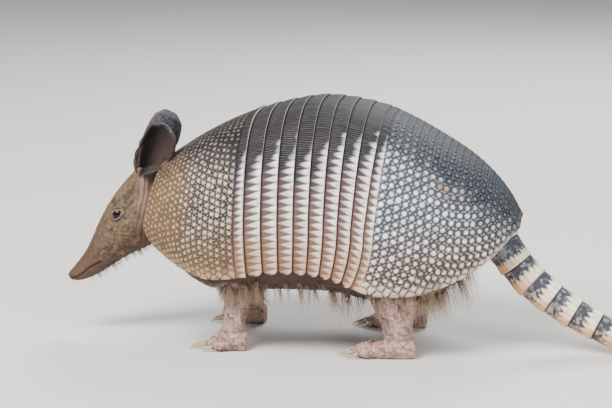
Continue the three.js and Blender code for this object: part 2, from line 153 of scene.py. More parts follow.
def cell_random(cells, seed):
    """A repeatable random number from 0 to 1 for each whole-numbered cell."""
    x, y, z = (cells[..., k].astype(np.int64) for k in range(3))
    mixed = (x * 73856093) ^ (y * 19349663) ^ (z * 83492791) ^ (seed * 40503)
    mixed = ((mixed ^ (mixed >> 13)) * 1274126177) & 0x7FFFFFFF
    mixed = ((mixed ^ (mixed >> 15)) * 1103515245) & 0x7FFFFFFF
    return (mixed ^ (mixed >> 12)) / 0x7FFFFFFF


def soft_noise(points, size, seed=0):
    """Smooth noise from -1 to 1, with blobs of about that size in millimetres."""
    cell = points / size
    base = np.floor(cell)
    part = cell - base
    part = part * part * (3 - 2 * part)
    total = np.zeros(points.shape[:-1])
    for corner in itertools.product((0, 1), repeat=3):
        weight = np.prod(np.where(np.array(corner), part, 1 - part), axis=-1)
        total += weight * cell_random(base + np.array(corner), seed)
    return 2 * total - 1


def cells(points, size, seed):
    """Scutes of about that size: how far each point is inside its own scute (0 on the edge between two,
    about 1 in the middle), and a random number for the scute."""
    place = points / size
    base = np.floor(place)
    first = np.full(points.shape[:-1], 9.0)
    second = first.copy()
    number = np.zeros(points.shape[:-1])
    for corner in itertools.product((-1, 0, 1), repeat=3):
        cell = base + corner
        jitter = np.stack([cell_random(cell, seed + k) for k in range(3)], axis=-1)
        gap = np.linalg.norm(place - cell - 0.15 - 0.7 * jitter, axis=-1)
        nearer = gap < first
        second = np.where(nearer, first, np.minimum(second, gap))
        number = np.where(nearer, cell_random(cell, seed + 3), number)
        first = np.minimum(first, gap)
    return second - first, number


def unit(vectors):
    """The vectors made one long."""
    return vectors / np.maximum(np.linalg.norm(vectors, axis=-1, keepdims=True), 1e-12)


# ------------------------------------------------------------------ mesh helpers
def grid_mesh(name, points, tints, stacks=1):
    """A closed mesh from rows of points: one grid, laid out and then merged where its rows meet.

    points is rows x columns x 3 in millimetres, tints the same in linear colour. stacks is how many
    lengths the map of a long strip is cut into.
    """
    rows, columns = points.shape[0] - 1, points.shape[1] - 1
    shape = bmesh.new()
    shape.loops.layers.uv.new("OFBake")
    bmesh.ops.create_grid(shape, x_segments=columns, y_segments=rows, size=0.5, calc_uvs=True)
    mesh = bpy.data.meshes.new(name)
    shape.to_mesh(mesh)
    shape.free()
    flat = np.empty(len(mesh.vertices) * 3)
    mesh.vertices.foreach_get("co", flat)
    flat = flat.reshape(-1, 3)
    column = np.rint((flat[:, 0] / (flat[:, 0].max() * 2) + 0.5) * columns).astype(int)
    row = np.rint((flat[:, 1] / (flat[:, 1].max() * 2) + 0.5) * rows).astype(int)
    mesh.vertices.foreach_set("co", (points[row, column] * MM).ravel())
    paint(mesh, tints[row, column])
    if stacks > 1:
        stack_map(mesh, stacks)
    merge(mesh)
    return mesh


def stack_map(mesh, stacks):
    """Cuts the map of a long strip into lengths and stacks them, so that it fills its square."""
    layer = mesh.uv_layers["OFBake"].data
    places = np.empty(len(layer) * 2)
    layer.foreach_get("uv", places)
    places = places.reshape(-1, 4, 2)
    length = np.clip(np.floor(places[:, :, 0].mean(axis=1) * stacks), 0, stacks - 1)[:, None]
    across = places[:, :, 0] * stacks - length
    up = (places[:, :, 1] * 0.98 + 0.01 + length) / stacks
    layer.foreach_set("uv", np.stack([across, up], axis=-1).ravel())


def paint(mesh, tints):
    """Gives each vertex its colour, as the attribute that the materials read."""
    layer = mesh.attributes.new("Tint", "FLOAT_COLOR", "POINT")
    layer.data.foreach_set("color", np.column_stack([np.clip(tints, 0, 1), np.ones(len(tints))]).ravel())


def merge(mesh):
    """Joins the points of a mesh that lie on each other, and turns its faces outwards."""
    shape = bmesh.new()
    shape.from_mesh(mesh)
    bmesh.ops.remove_doubles(shape, verts=shape.verts, dist=MERGE_DISTANCE * MM)
    bmesh.ops.recalc_face_normals(shape, faces=shape.faces)
    shape.to_mesh(mesh)
    shape.free()
    mesh.shade_smooth()


def add_piece(name, mesh, material, nodes=()):
    """Puts a finished mesh in the scene, standing for the nodes it is named with."""
    piece = bpy.data.objects.new(name, mesh)
    bpy.context.scene.collection.objects.link(piece)
    if not mesh.materials:
        mesh.materials.append(material)
    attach(piece, "root")
    if nodes:
        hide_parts(*nodes)


# ------------------------------------------------------------------ shell surface
RIDGE_LINE = smooth_through(RIDGE, np.linspace(0, len(RIDGE) - 1, 400))
KNOT_STEPS = 40  # rows read between two stations
ARCH_STEPS = 1200  # lengths that an arch is measured in
WIDTH_SAMPLES = 9  # arches measured to find the widest
REARWARD_STEP = 0.004  # share of the length over which the rearward direction is read
RIM_STEPS = 4  # rows of a plate's rounded front and rear edges
UNDER_STEPS = 5  # rows of its underside


def band_edge(i):
    """The station between two bands: edge 0 ends the shoulder shield, and edge 8 starts the hip shield."""
    places = [first + step * i + bend * i * i for first, step, bend in BAND_PLACES]
    return (*places, BAND_LOW_Z - BAND_LOW_DROP * (i - 3) ** 2, BAND_WIDTH + BAND_WIDENING * i)


def arch(stations, angle):
    """Points of arches over the body: angle 0 is the ridge, and less than 0 is the left side."""
    top, waist, low, low_z, half = np.moveaxis(np.asarray(stations, float), -1, 0)
    ridge = np.interp(top, RIDGE_LINE[:, 0], RIDGE_LINE[:, 1])
    waist_z = low_z + (ridge - low_z) * ARCH_WAIST
    lift = np.cos(angle)
    sweep = np.abs(np.sin(angle))
    rise = np.clip(lift, 0, 1) ** ARCH_FULLNESS
    fall = np.clip(-lift, 0, 1) / -math.cos(ARCH_END)
    upper = lift >= 0
    x = np.where(upper, waist + (top - waist) * rise, waist + (low - waist) * fall**2)
    y = np.sign(angle) * half * np.where(upper, sweep**ARCH_FULLNESS, sweep)
    z = np.where(upper, waist_z + (ridge - waist_z) * rise, waist_z + (low_z - waist_z) * fall)
    return np.stack([x + BODY_X, y, z], axis=-1)


class ShellSurface:
    """A stretch of shell, with places on it by share of its length and share of its arch."""

    def __init__(self, knots):
        self.knots = np.array(knots, float)
        self.places = np.linspace(0, len(knots) - 1, KNOT_STEPS * (len(knots) - 1) + 1)
        rows = smooth_through(self.knots, self.places)
        lines = [arch(rows, angle) for angle in (0.0, math.pi / 2)]
        steps = [np.linalg.norm(np.diff(line, axis=0), axis=1) for line in lines]
        run = np.concatenate([[0], np.cumsum(np.mean(steps, axis=0))])
        self.length = run[-1]
        self.run = run / run[-1]

    def curves(self, shares):
        """For each share of the length, the arch as a fine line and the run along it."""
        stations = smooth_through(self.knots, np.interp(shares, self.run, self.places))
        angles = np.linspace(-ARCH_END, ARCH_END, ARCH_STEPS + 1)
        line = arch(stations[:, None, :], angles[None, :])
        steps = np.linalg.norm(np.diff(line, axis=1), axis=2)
        run = np.concatenate([np.zeros((len(line), 1)), np.cumsum(steps, axis=1)], axis=1)
        return line, run

    def points(self, shares, across):
        """Points at shares of the length (rows) and shares of the arch (columns), and the arch lengths."""
        line, run = self.curves(shares)
        found = np.empty((len(shares), len(across), 3))
        for row, (curve, distance) in enumerate(zip(line, run)):
            for axis in range(3):
                found[row, :, axis] = np.interp(across * distance[-1], distance, curve[:, axis])
        return found, run[:, -1]

    def frame(self, shares, across):
        """Points, outward normals, rearward directions and the arch lengths."""
        ahead, _ = self.points(np.clip(shares - REARWARD_STEP, 0, 1), across)
        behind, _ = self.points(np.clip(shares + REARWARD_STEP, 0, 1), across)
        points, lengths = self.points(shares, across)
        rearward = unit(behind - ahead)
        sideways = unit(np.gradient(points, axis=1))
        return points, unit(np.cross(rearward, sideways)), rearward, lengths


def plate_rows(length, cell):
    """Rows of a closed plate, over the top from front to rear and back along the underside: the share
    of its length, the side from 1 (top) to -1 (underside), and how far the rim bulges."""
    count = max(4, round(length / cell))
    turns = [math.pi * k / (RIM_STEPS + 1) for k in range(1, RIM_STEPS + 1)]
    rows = [(share, 1.0, 0.0) for share in np.linspace(0, 1, count + 1)]
    rows += [(1.0, math.cos(turn), math.sin(turn)) for turn in turns]
    rows += [(share, -1.0, 0.0) for share in np.linspace(1, 0, UNDER_STEPS + 1)]
    rows += [(0.0, -math.cos(turn), -math.sin(turn)) for turn in turns]
    rows += [(0.0, 1.0, 0.0)]
    return np.array(rows).T


def quarter_round(distance, radius):
    """A rounded edge: 0 on the edge, and 1 from the radius inwards."""
    return np.sqrt(np.clip(1 - (1 - np.minimum(distance / radius, 1)) ** 2, 0, 1))


def shell_plate(name, knots, cell, pattern, lift, thickness, tip_round=0.0, stacks=1):
    """A closed plate of shell. pattern gives its relief and colours, lift and thickness are functions
    of the share of its length."""
    surface = ShellSurface(knots)
    shares, side, bulge = plate_rows(surface.length, cell)
    widest = surface.points(np.linspace(0, 1, WIDTH_SAMPLES), np.array([0.0, 1.0]))[1].max()
    across = np.linspace(0, 1, round(widest / cell) + 1)
    points, normals, rearward, lengths = surface.frame(shares, across)
    from_edge = np.minimum(across, 1 - across)[None, :] * lengths[:, None]
    height, tints = pattern(surface, shares, side, across, from_edge, points)
    half = thickness(shares)[:, None] / 2
    edge = quarter_round(from_edge, EDGE_ROUND)
    relief = height * edge * np.maximum(side, 0)[:, None]
    out = side[:, None] * half * edge - half + lift(shares)[:, None] + relief
    along = bulge[:, None] * half * edge
    if tip_round:
        narrow = quarter_round(from_edge, tip_round)
        along = along + (shares[:, None] - 0.5) * surface.length * (narrow - 1) * TIP_TAPER
    placed = points + normals * out[..., None] + rearward * along[..., None]
    return grid_mesh(name, placed, tints, stacks)


# ------------------------------------------------------------------ shell patterns
# The last field of a palette is how strongly a painted highlight lights the tops of the dark back's beads.
Palette = collections.namedtuple("Palette", "bead ground low_bead low_ground back back_line speckle")
SHOULDER_COLOURS = Palette(
    bead=srgb(214, 198, 182), ground=srgb(50, 45, 45), low_bead=srgb(166, 137, 106),
    low_ground=srgb(98, 78, 58), back=srgb(30, 28, 31), back_line=srgb(46, 43, 45), speckle=0.34,
)
HIP_COLOURS = Palette(
    bead=srgb(240, 243, 246), ground=srgb(68, 72, 80), low_bead=srgb(242, 230, 218),
    low_ground=srgb(78, 64, 58), back=srgb(32, 38, 45), back_line=srgb(88, 93, 97), speckle=0.14,
)
BAND_BACK = srgb(20, 20, 24)
BAND_BACK_LINE = srgb(92, 90, 92)
BAND_PALE = srgb(254, 249, 244)
BAND_PALE_LOW = srgb(218, 188, 158)
BAND_DARK = srgb(98, 80, 78)
BAND_SLATE = srgb(62, 60, 68)
BAND_DARK_LOW = srgb(138, 104, 84)
BORDER_TAN = srgb(188, 158, 128)
SKIN_RED = srgb(84, 38, 36)
UNDERSIDE = srgb(150, 120, 100)
RIM = srgb(176, 158, 138)
SCAR = srgb(168, 124, 90)
SCAR_LINE = ((113, 139), (119, 131), (127, 120))  # a healed mark on the left hip, as X and Z
SCAR_REACH = 2.0  # beads with their centre this near the line are marked
WEDGE_ROW = 7.5  # width of the band-like row at the edge of a shield
WEDGE_SHARE = 0.92  # of the bead pitch, the width of its wedges
WEDGE_SEED = 40
WEDGE_GROOVE = 0.36  # half the width of the groove between two wedges
STREAK = 1.9  # distance between two fine lines of the dark back
BORDER = (15, 4)  # from the lower edge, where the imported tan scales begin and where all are
ROUND_GROOVE = (0.0, 0.16)  # how far inside its scale a groove begins and ends, as shares of the pitch
BEAD_SEED = 7
BEAD_STRAY = 0.3  # how far a bead's centre strays from its place
BEAD_UNEVENNESS = 0.08  # of its size
BEAD_POWER = 2.3  # 2 is a ball, and more is flatter
LITTLE_SHARE = 0.155  # radius of the small beads against the pitch
SMALL_SHIFTS = (-1 / 3, 1 / 3)  # rows of small beads, as shares of a row of big ones
SHIELD_SOFTNESS = 18.0  # half the height over which the dark back of a shield fades
BAND_SOFTNESS = 8.0  # the same for the bands
BAND_RELIEF_SOFTNESS = 7.0  # and for their relief
DARK_WANDER = 3.5  # how far the edge of the dark back strays


def darkness(points, softness, shift=0.0):
    """How far a point belongs to the dark back, from 0 to 1."""
    edge_x, edge_z = np.array(DARK_EDGE, float).T
    level = np.interp(points[..., 0] - BODY_X, edge_x, edge_z) + shift
    level = level + DARK_WANDER * soft_noise(points, 16, 3) + DARK_WANDER * soft_noise(points, 5, 4)
    return smooth_step(level - softness, level + softness, points[..., 2])


def lowness(points):
    """How far a point belongs to the tan lower flank, from 0 to 1."""
    low = 1 - smooth_step(64, 118, points[..., 2] + 5 * soft_noise(points, 20, 5))
    front = smooth_step(-70, -104, points[..., 0] - BODY_X + 5 * soft_noise(points, 12, 6))
    return np.maximum(low, 0.95 * front)


def bead_places(surface, row_pitches, pitches, first, last):
    """Centres of the big beads and of the small ones between them, as shares of length and arch.

    The pitches are given at the front and at the rear, along the rows and across them. Rows fill the
    length from first to last. The beads are counted up from the lower edges, and meet on the ridge.
    """
    rows = [first + 0.5 * row_pitches[0]]
    while rows[-1] < last:
        share = rows[-1] / surface.length
        rows.append(rows[-1] + row_pitches[0] + (row_pitches[1] - row_pitches[0]) * share)
    rows = np.array(rows[:-1])
    spread = (last - first - 0.5 * row_pitches[0] - 0.5 * row_pitches[1]) / (rows[-1] - rows[0])
    rows = rows[0] + (rows - rows[0]) * spread
    step = np.gradient(rows)
    lengths = surface.points(rows / surface.length, np.array([0.0, 1.0]))[1]
    big = []
    small = []
    for row, (place, length, gap) in enumerate(zip(rows, lengths, step)):
        pitch = pitches[0] + (pitches[1] - pitches[0]) * place / surface.length
        half = length / 2
        distance = np.arange(0.5 + 0.5 * (row % 2), half / pitch) * pitch
        left_over = half - distance[-1]
        if left_over < 0.28 * pitch:
            distance[-1] = half
        elif left_over > 0.7 * pitch:
            distance = np.append(distance, half)
        between = np.concatenate([distance - 0.5 * pitch, distance[-1:] + 0.5 * pitch])
        between = between[(between > 0.2 * pitch) & (between < half)]
        for end in (0, 1):
            for found, values, shifts in ((big, distance, (0,)), (small, between, SMALL_SHIFTS)):
                kept = [value for value in values if end or value < half]
                for shift in shifts:
                    share = (place + shift * gap) / surface.length
                    found.extend((share, abs(end - value / length)) for value in kept)
    return np.array(big), np.array(small)


def on_surface(points, shares, across, places):
    """Points of a finished grid at the given shares, read between its rows and columns."""
    row = np.interp(places[:, 0], shares, np.arange(len(shares)))
    column = np.interp(places[:, 1], across, np.arange(len(across)))
    r = np.minimum(row.astype(int), len(shares) - 2)
    c = np.minimum(column.astype(int), len(across) - 2)
    rearward = (row - r)[:, None]
    sideways = (column - c)[:, None]
    near = points[r, c] * (1 - sideways) + points[r, c + 1] * sideways
    far = points[r + 1, c] * (1 - sideways) + points[r + 1, c + 1] * sideways
    return near * (1 - rearward) + far * rearward


def nearest(centres, points, count):
    """Distances to the nearest centres, and which they are."""
    tree = kdtree.KDTree(len(centres))
    for index, centre in enumerate(centres):
        tree.insert(centre, index)
    tree.balance()
    found = [tree.find_n(point, count) for point in points]
    hits = np.array([[(distance, index) for _, index, distance in near] for near in found])
    return hits[:, :, 0], hits[:, :, 1].astype(int)


Beads = collections.namedtuple("Beads", "centres own bead little inside tone")


def bead_field(big, small, points, pitch, bead_share):
    """The centres of the uneven beads, and for each point the number of its bead, how high it is on that
    bead and on a small one, how far it is inside its own scale, and the tone of its bead."""
    rng = np.random.default_rng(BEAD_SEED)
    big = big + rng.normal(0, BEAD_STRAY, big.shape)
    shade = rng.normal(0, 1, len(big))
    size = 1 + BEAD_UNEVENNESS * rng.normal(0, 1, len(big))
    gaps, which = nearest(big, points, 2)
    gaps = gaps + 0.4 * soft_noise(points, 2.1, 13)[:, None]
    small_gap, _ = nearest(small, points, 1)
    own = which[:, 0]
    reach = bead_share * pitch * size[own]
    bead = np.clip(1 - (np.maximum(gaps[:, 0], 0) / reach) ** BEAD_POWER, 0, 1)
    little = np.clip(1 - (small_gap[:, 0] / (LITTLE_SHARE * pitch)) ** 2, 0, 1)
    inside = (gaps[:, 1] - gaps[:, 0]) / pitch
    tone = np.clip(0.97 + 0.16 * shade[own], 0.6, 1.08)[:, None]
    return Beads(big, own, bead, little, inside, tone)


def on_scar(centres, line):
    """Which beads lie along a line on the left flank."""
    near = line_distance(centres[:, [0, 2]] - (BODY_X, 0), line) < SCAR_REACH
    return near & (centres[:, 1] <= 0)


def bead_tints(colours, points, beads, border, dark):
    """Colours of a shield's round scales, from its dark back to its tan lower flank and border, with painted
    shade round the beads' domes and a painted highlight on the back's beads.
    """
    low = lowness(points)
    pale = blend(blend(colours.bead, colours.low_bead, low), BORDER_TAN, 0.6 * border) * beads.tone
    ground = blend(colours.ground, colours.low_ground, low)
    # The beads fade from pale on their tops to the ground colour round their feet: painted shade of their
    # domes. The ground between them is their own dark.
    flank = blend(ground, pale, smooth_step(0.0, 0.8, np.maximum(beads.bead, 0.5 * beads.little)))
    worn = np.clip(soft_noise(points, 1.5, 12), 0, 1)
    flank = blend(flank, ground, 0.55 * worn)
    scale = smooth_step(0.1, 0.9, smooth_step(*ROUND_GROOVE, beads.inside))
    back = blend(colours.back_line, colours.back * beads.tone, scale)
    # Pale spots on the tops of the dark back's beads: a painted highlight on their domes.
    back = blend(back, colours.bead * 0.75, colours.speckle * smooth_step(0.35, 0.95, beads.bead))
    return blend(flank, back, dark)


def bead_relief(beads, dark):
    """Round beads on the flank, and flat scales with fine lines between them on the back."""
    round_relief = 0.8 * np.sqrt(beads.bead) + 0.35 * np.sqrt(beads.little)
    scale_relief = 0.35 * smooth_step(*ROUND_GROOVE, beads.inside) + 0.1 * np.sqrt(beads.bead)
    return blend(round_relief, scale_relief, 0.8 * dark)


def wedge_row(points, distance, run, start, pitch, seed):
    """The row of wedges along a shield's edge: which points it holds, their colours and their relief."""
    along = (run - start) / WEDGE_ROW
    pale, groove, jitter = wedge_relief(distance, along, pitch, seed)
    tint = band_colours(points, distance, along, pale, jitter)
    return (along >= 0) & (along <= 1), tint, 0.45 + 0.3 * pale - 0.3 * groove


def bead_pattern(colours, row_pitches, pitches, bead_share, wedge_at=0, scar=None):
    """Relief and colours of a shield: round beads ringed by small ones, dark scales on the back, and a
    row of wedges along its front edge (wedge_at 0) or its rear edge (wedge_at 1)."""

    def pattern(surface, shares, side, across, from_edge, points):
        top = side == 1.0
        top[-1] = False
        grid = points[top]
        flat = grid.reshape(-1, 3)
        distance = from_edge[top].ravel()
        at_rear = wedge_at == 1
        first = 0.0 if at_rear else WEDGE_ROW
        last = surface.length - (WEDGE_ROW if at_rear else 0.0)
        places = bead_places(surface, row_pitches, pitches, first, last)
        big, small = (on_surface(grid, shares[top], across, where) for where in places)
        pitch = np.interp(np.repeat(shares[top], grid.shape[1]), (0, 1), pitches)
        beads = bead_field(big, small, flat, pitch, bead_share)
        border = smooth_step(*BORDER, distance)
        packed = border * smooth_step(0.08, 0.3, beads.inside)
        beads = beads._replace(bead=np.maximum(beads.bead, packed))
        dark = darkness(flat, SHIELD_SOFTNESS)
        tint = bead_tints(colours, flat, beads, border, dark)
        if scar is not None:
            marked = on_scar(beads.centres, scar)[beads.own]
            tint = blend(tint, SCAR * beads.tone, 0.85 * marked * smooth_step(0.1, 0.6, beads.bead))
        run = np.repeat(shares[top] * surface.length, grid.shape[1])
        start = last if at_rear else 0.0
        wedge_pitch = WEDGE_SHARE * pitches[wedge_at]
        row, row_tint, row_relief = wedge_row(flat, distance, run, start, wedge_pitch, WEDGE_SEED + wedge_at)
        line = 1 - smooth_step(0.0, 0.5, np.abs(run - (last if at_rear else first)))
        tint = np.where(row[:, None], row_tint, tint)
        relief = np.where(row, row_relief, bead_relief(beads, dark)) * (1 - line)
        height = np.zeros(points.shape[:2])
        tints = np.broadcast_to(UNDERSIDE, points.shape).copy()
        height[top] = relief.reshape(grid.shape[:2])
        tints[top] = tint.reshape(grid.shape)
        tints[(shares == 1.0) & ~top] = RIM * 0.8
        height[-1] = height[0]
        tints[-1] = tints[0]
        return height, tints

    return pattern


def wedge_relief(distance, along, pitch, seed):
    """Interlocking wedges: pale ones with their base at the rear, dark ones with theirs in front.

    Gives the share of pale, the share of groove and a random number for the wedge.
    """
    number = np.floor(distance / pitch)
    jitter = cell_random(np.stack([number, np.full_like(number, seed), np.zeros_like(number)], -1), seed)
    phase = np.abs(distance / pitch - number - 0.5) * 2
    reach = 0.97 * np.clip((along - 0.02 - 0.16 * jitter) / 0.84, 0, 1) ** 0.85
    edge = (reach - phase) * pitch / 2
    pale = smooth_step(-0.6, 0.9, edge)
    groove = np.exp(-((edge / WEDGE_GROOVE) ** 2)) * smooth_step(0.0, 0.15, along)
    return pale, groove, jitter


def streaks(points, distance):
    """Fine lines that run along the body, from 0 to 1."""
    wander = soft_noise(points, 6, 16) + 0.5 * soft_noise(points, 2.2, 17)
    line = 0.5 + 0.5 * np.sin(2 * math.pi * distance / STREAK + 2.5 * wander)
    return line**2 * (0.45 + 0.55 * (0.5 + 0.5 * soft_noise(points * (0.3, 1, 1), 1.4, 11)))


def band_colours(points, distance, along, pale, jitter):
    """Colours of wedge scales, from the dark back to the tan lower flank, with a painted highlight towards
    their rear and a painted shadow along their front edge.
    """
    shift = 7 * (jitter - 0.5) + 20 * (along - 0.55)
    dark = darkness(points, BAND_SOFTNESS, shift)
    low = 1 - smooth_step(66, 122, points[..., 2] + 6 * soft_noise(points, 18, 5))
    tone = (0.84 + 0.2 * jitter + 0.1 * soft_noise(points, 9, 14))[..., None]
    deep = blend(BAND_DARK, BAND_DARK_LOW, low)
    deep = blend(deep, BAND_SLATE, 0.85 * darkness(points, 14.0, shift - 18)) * tone
    light = blend(BAND_PALE, BAND_PALE_LOW, low) * tone
    # The pale of the wedges darkens towards the band's front: partly the band's own darker front, partly a
    # painted highlight that brightens them towards the rear.
    light = blend(light, deep, 0.6 * smooth_step(0.8, 0.15, along))
    flank = blend(deep, light, pale)
    smudge = np.clip(soft_noise(points * (0.6, 1, 1), 1.5, 15) + 0.3 * soft_noise(points, 7, 18), 0, 1)
    flank = blend(flank, deep, 0.55 * smudge)
    back = blend(BAND_BACK, BAND_BACK_LINE, 0.85 * streaks(points, distance))
    back = back * (0.85 + 0.3 * jitter)[..., None]
    tint = blend(flank, back, dark)
    # A dark strip along the front edge, where it lies under the lip of the band ahead: on the flanks the red
    # skin showing there, darkened, and on the back the dark horn darkened further. The darkening is painted
    # shadow of that lip.
    line = 1 - smooth_step(0.02, 0.16, along)
    return blend(tint, blend(SKIN_RED * 0.7, BAND_BACK * 0.6, dark), line * 0.95)


def band_pattern(pitch, seed):
    """Relief and colours of a band: wedge scales on the flanks, and fine lines on the back."""

    def pattern(surface, shares, side, across, from_edge, points):
        along = np.broadcast_to(shares[:, None], from_edge.shape)
        pale, groove, jitter = wedge_relief(from_edge, along, pitch, seed)
        dark = darkness(points, BAND_RELIEF_SOFTNESS)
        tints = band_colours(points, from_edge, along, pale, jitter)
        tints = np.where((side < 0)[:, None, None], UNDERSIDE, tints)
        rim = (along == 1.0) & (side < 1)[:, None] & (side > -0.9)[:, None]
        tints = np.where(rim[..., None], blend(BAND_DARK_LOW, RIM * 0.62, dark), tints)
        wedges = 0.34 * pale - 0.34 * groove + 0.1 * soft_noise(points, 1.3, seed)
        height = blend(wedges, 0.28 * streaks(points, from_edge), dark)
        return height * smooth_step(0, 0.12, along), tints

    return pattern


def front_tuck(length):
    """Lift of a plate whose front edge lies under the one ahead of it."""
    return lambda shares: -TUCK * (1 - smooth_step(0, 2.5 / length, shares))


def rear_lip(shares, start=0.0):
    """Lift of a plate's rear edge over the one behind it."""
    return LIP * smooth_step(start, 1.0, shares)


# ------------------------------------------------------------------ materials
BLOTCH = 7.0  # size of the mottling of horn and skin


def add_node(tree, kind, **values):
    """A shader node, with its settings and the values of its inputs."""
    node = tree.nodes.new(kind)
    for key, value in values.items():
        if key in node.inputs:
            node.inputs[key].default_value = value
        else:
            setattr(node, key, value)
    return node


def new_material(name, roughness, specular=0.5):
    """A new material, with its node tree and its shader."""
    material = bpy.data.materials.new(name)
    material.use_nodes = True
    tree = material.node_tree
    shader = tree.nodes["Principled BSDF"]
    shader.inputs["Roughness"].default_value = roughness
    shader.inputs["Specular IOR Level"].default_value = specular
    return material, tree, shader


def tinted_material(name, roughness, spread, bump, grain, specular=0.5, subsurface=0.0, mottling=0.12):
    """Horn or skin that takes its colour from the mesh, with mottling, uneven gloss and fine grain.

    grain is the size of the finest bumps in millimetres and bump their strength.
    """
    material, tree, shader = new_material(name, roughness, specular)
    link = tree.links.new
    place = add_node(tree, "ShaderNodeTexCoord").outputs["Object"]
    tint = add_node(tree, "ShaderNodeAttribute", attribute_name="Tint").outputs["Color"]
    blotch = add_node(tree, "ShaderNodeTexNoise", Scale=1 / (BLOTCH * MM), Detail=5.0, Roughness=0.62)
    fine = add_node(tree, "ShaderNodeTexNoise", Scale=1 / (grain * MM), Detail=3.0, Roughness=0.55)
    shade = add_node(tree, "ShaderNodeMapRange")
    shade.inputs["To Min"].default_value = 1 - mottling
    shade.inputs["To Max"].default_value = 1 + mottling
    mixed = add_node(tree, "ShaderNodeVectorMath", operation="SCALE")
    gloss = add_node(tree, "ShaderNodeMapRange")
    gloss.inputs["To Min"].default_value = roughness - spread
    gloss.inputs["To Max"].default_value = roughness + spread
    both = add_node(tree, "ShaderNodeMath", operation="ADD")
    raised = add_node(tree, "ShaderNodeBump", Strength=bump, Distance=grain * MM)
    link(place, blotch.inputs["Vector"])
    link(place, fine.inputs["Vector"])
    link(blotch.outputs["Fac"], shade.inputs["Value"])
    link(tint, mixed.inputs[0])
    link(shade.outputs["Result"], mixed.inputs["Scale"])
    link(mixed.outputs["Vector"], shader.inputs["Base Color"])
    link(fine.outputs["Fac"], gloss.inputs["Value"])
    link(gloss.outputs["Result"], shader.inputs["Roughness"])
    link(fine.outputs["Fac"], both.inputs[0])
    link(blotch.outputs["Fac"], both.inputs[1])
    link(both.outputs["Value"], raised.inputs["Height"])
    link(raised.outputs["Normal"], shader.inputs["Normal"])
    if subsurface:
        shader.inputs["Subsurface Weight"].default_value = subsurface
        shader.inputs["Subsurface Radius"].default_value = (1.0, 0.4, 0.25)
        shader.inputs["Subsurface Scale"].default_value = 1.5 * MM
    return material


def shell_material():
    """The horn of the shields and bands, made once."""
    made = bpy.data.materials.get("Armour horn")
    roughness = bpy.context.scene.armadillo_shell.roughness
    return made or tinted_material("Armour horn", roughness, spread=0.1, bump=0.4, grain=0.5, specular=0.13)


# ------------------------------------------------------------------ tail
TAIL_LINE = (
    (140, 0, 100), (152, -0.5, 88), (163, -3, 74.5), (171, -4, 64.5), (183, -6, 52.5), (198, -9, 41.5),
    (215, -12, 31), (232, -15, 22.4), (249, -18, 15.5), (270, -21, 10.5), (300, -25, 7.6), (345, -26, 5.6),
    (390, -20, 4), (432, -8, 2.2),
)
TAIL_BASE = 13.0  # length of the root, before the first ring
TAIL_RINGS = (12.5, 19, 19.5, 20.5, 20.5, 20, 19, 18, 16.5, 15, 13)  # lengths of the rings
BASE_RINGS = 2  # rings with many small scales and no tan on their underside
BASE_SCALE = 3.8  # width of their pale scales
RING_SCALE = 5.0  # width of the other rings' pale scales
RING_GAP = 0.3
RING_LIP = 0.9  # how far a ring's rear stands out
TAIL_RADIUS = 13.5
TAIL_TIP_RADIUS = 1.6
TAPER_START = 60.0
ROOT_SWELL = 8.0
ROOT_SWELL_LENGTH = 40.0
PIECE_ROUND = 0.5  # how far the ends of a length of tail round off
CAP_DEPTH = 0.4  # from an end to the middle of its cap
TAIL_SCUTE = 2.6  # size of the dark scales
SEAM_WIDTH = 0.3  # half the width of the seams between the pale scales
TAIL_PALE = srgb(248, 234, 212)
TAIL_PALE_LOW = srgb(232, 178, 128)
TAIL_SLATE = srgb(64, 67, 75)
TAIL_SLATE_LINE = srgb(132, 135, 140)
TAIL_EDGE = srgb(46, 40, 42)


class TailLine:
    """The middle line of the tail by distance from its root."""

    def __init__(self):
        places = np.linspace(0, len(TAIL_LINE) - 1, 600)
        self.points = smooth_through(TAIL_LINE, places) + (BODY_X, 0, 0)
        steps = np.linalg.norm(np.diff(self.points, axis=0), axis=1)
        self.run = np.concatenate([[0], np.cumsum(steps)])
        self.length = self.run[-1]

    def at(self, distance):
        """Places on the line."""
        return np.stack([np.interp(distance, self.run, self.points[:, k]) for k in range(3)], axis=-1)

    def radius(self, distance):
        """Radius of the tail: swollen at its root, and tapered to its tip."""
        swell = ROOT_SWELL * np.clip(1 - distance / ROOT_SWELL_LENGTH, 0, 1) ** 1.5
        taper = np.clip((distance - TAPER_START) / (self.length - TAPER_START), 0, 1)
        return TAIL_RADIUS * (1 - taper) ** 0.9 + TAIL_TIP_RADIUS * taper + swell

    def tube(self, distances, radii, around):
        """Points around the line: rows along it and columns around it, no lower than the floor."""
        centre = self.at(distances)
        along = unit(self.at(distances + 1) - self.at(distances - 1))
        across = unit(np.cross((0.0, 0.0, 1.0), along))
        up = np.cross(along, across)
        turn = 2 * math.pi * around
        ring = across[:, None] * np.cos(turn)[:, None] + up[:, None] * np.sin(turn)[:, None]
        points = centre[:, None] + ring * radii[..., None]
        return np.stack([points[..., 0], points[..., 1], np.maximum(points[..., 2], 0)], axis=-1)


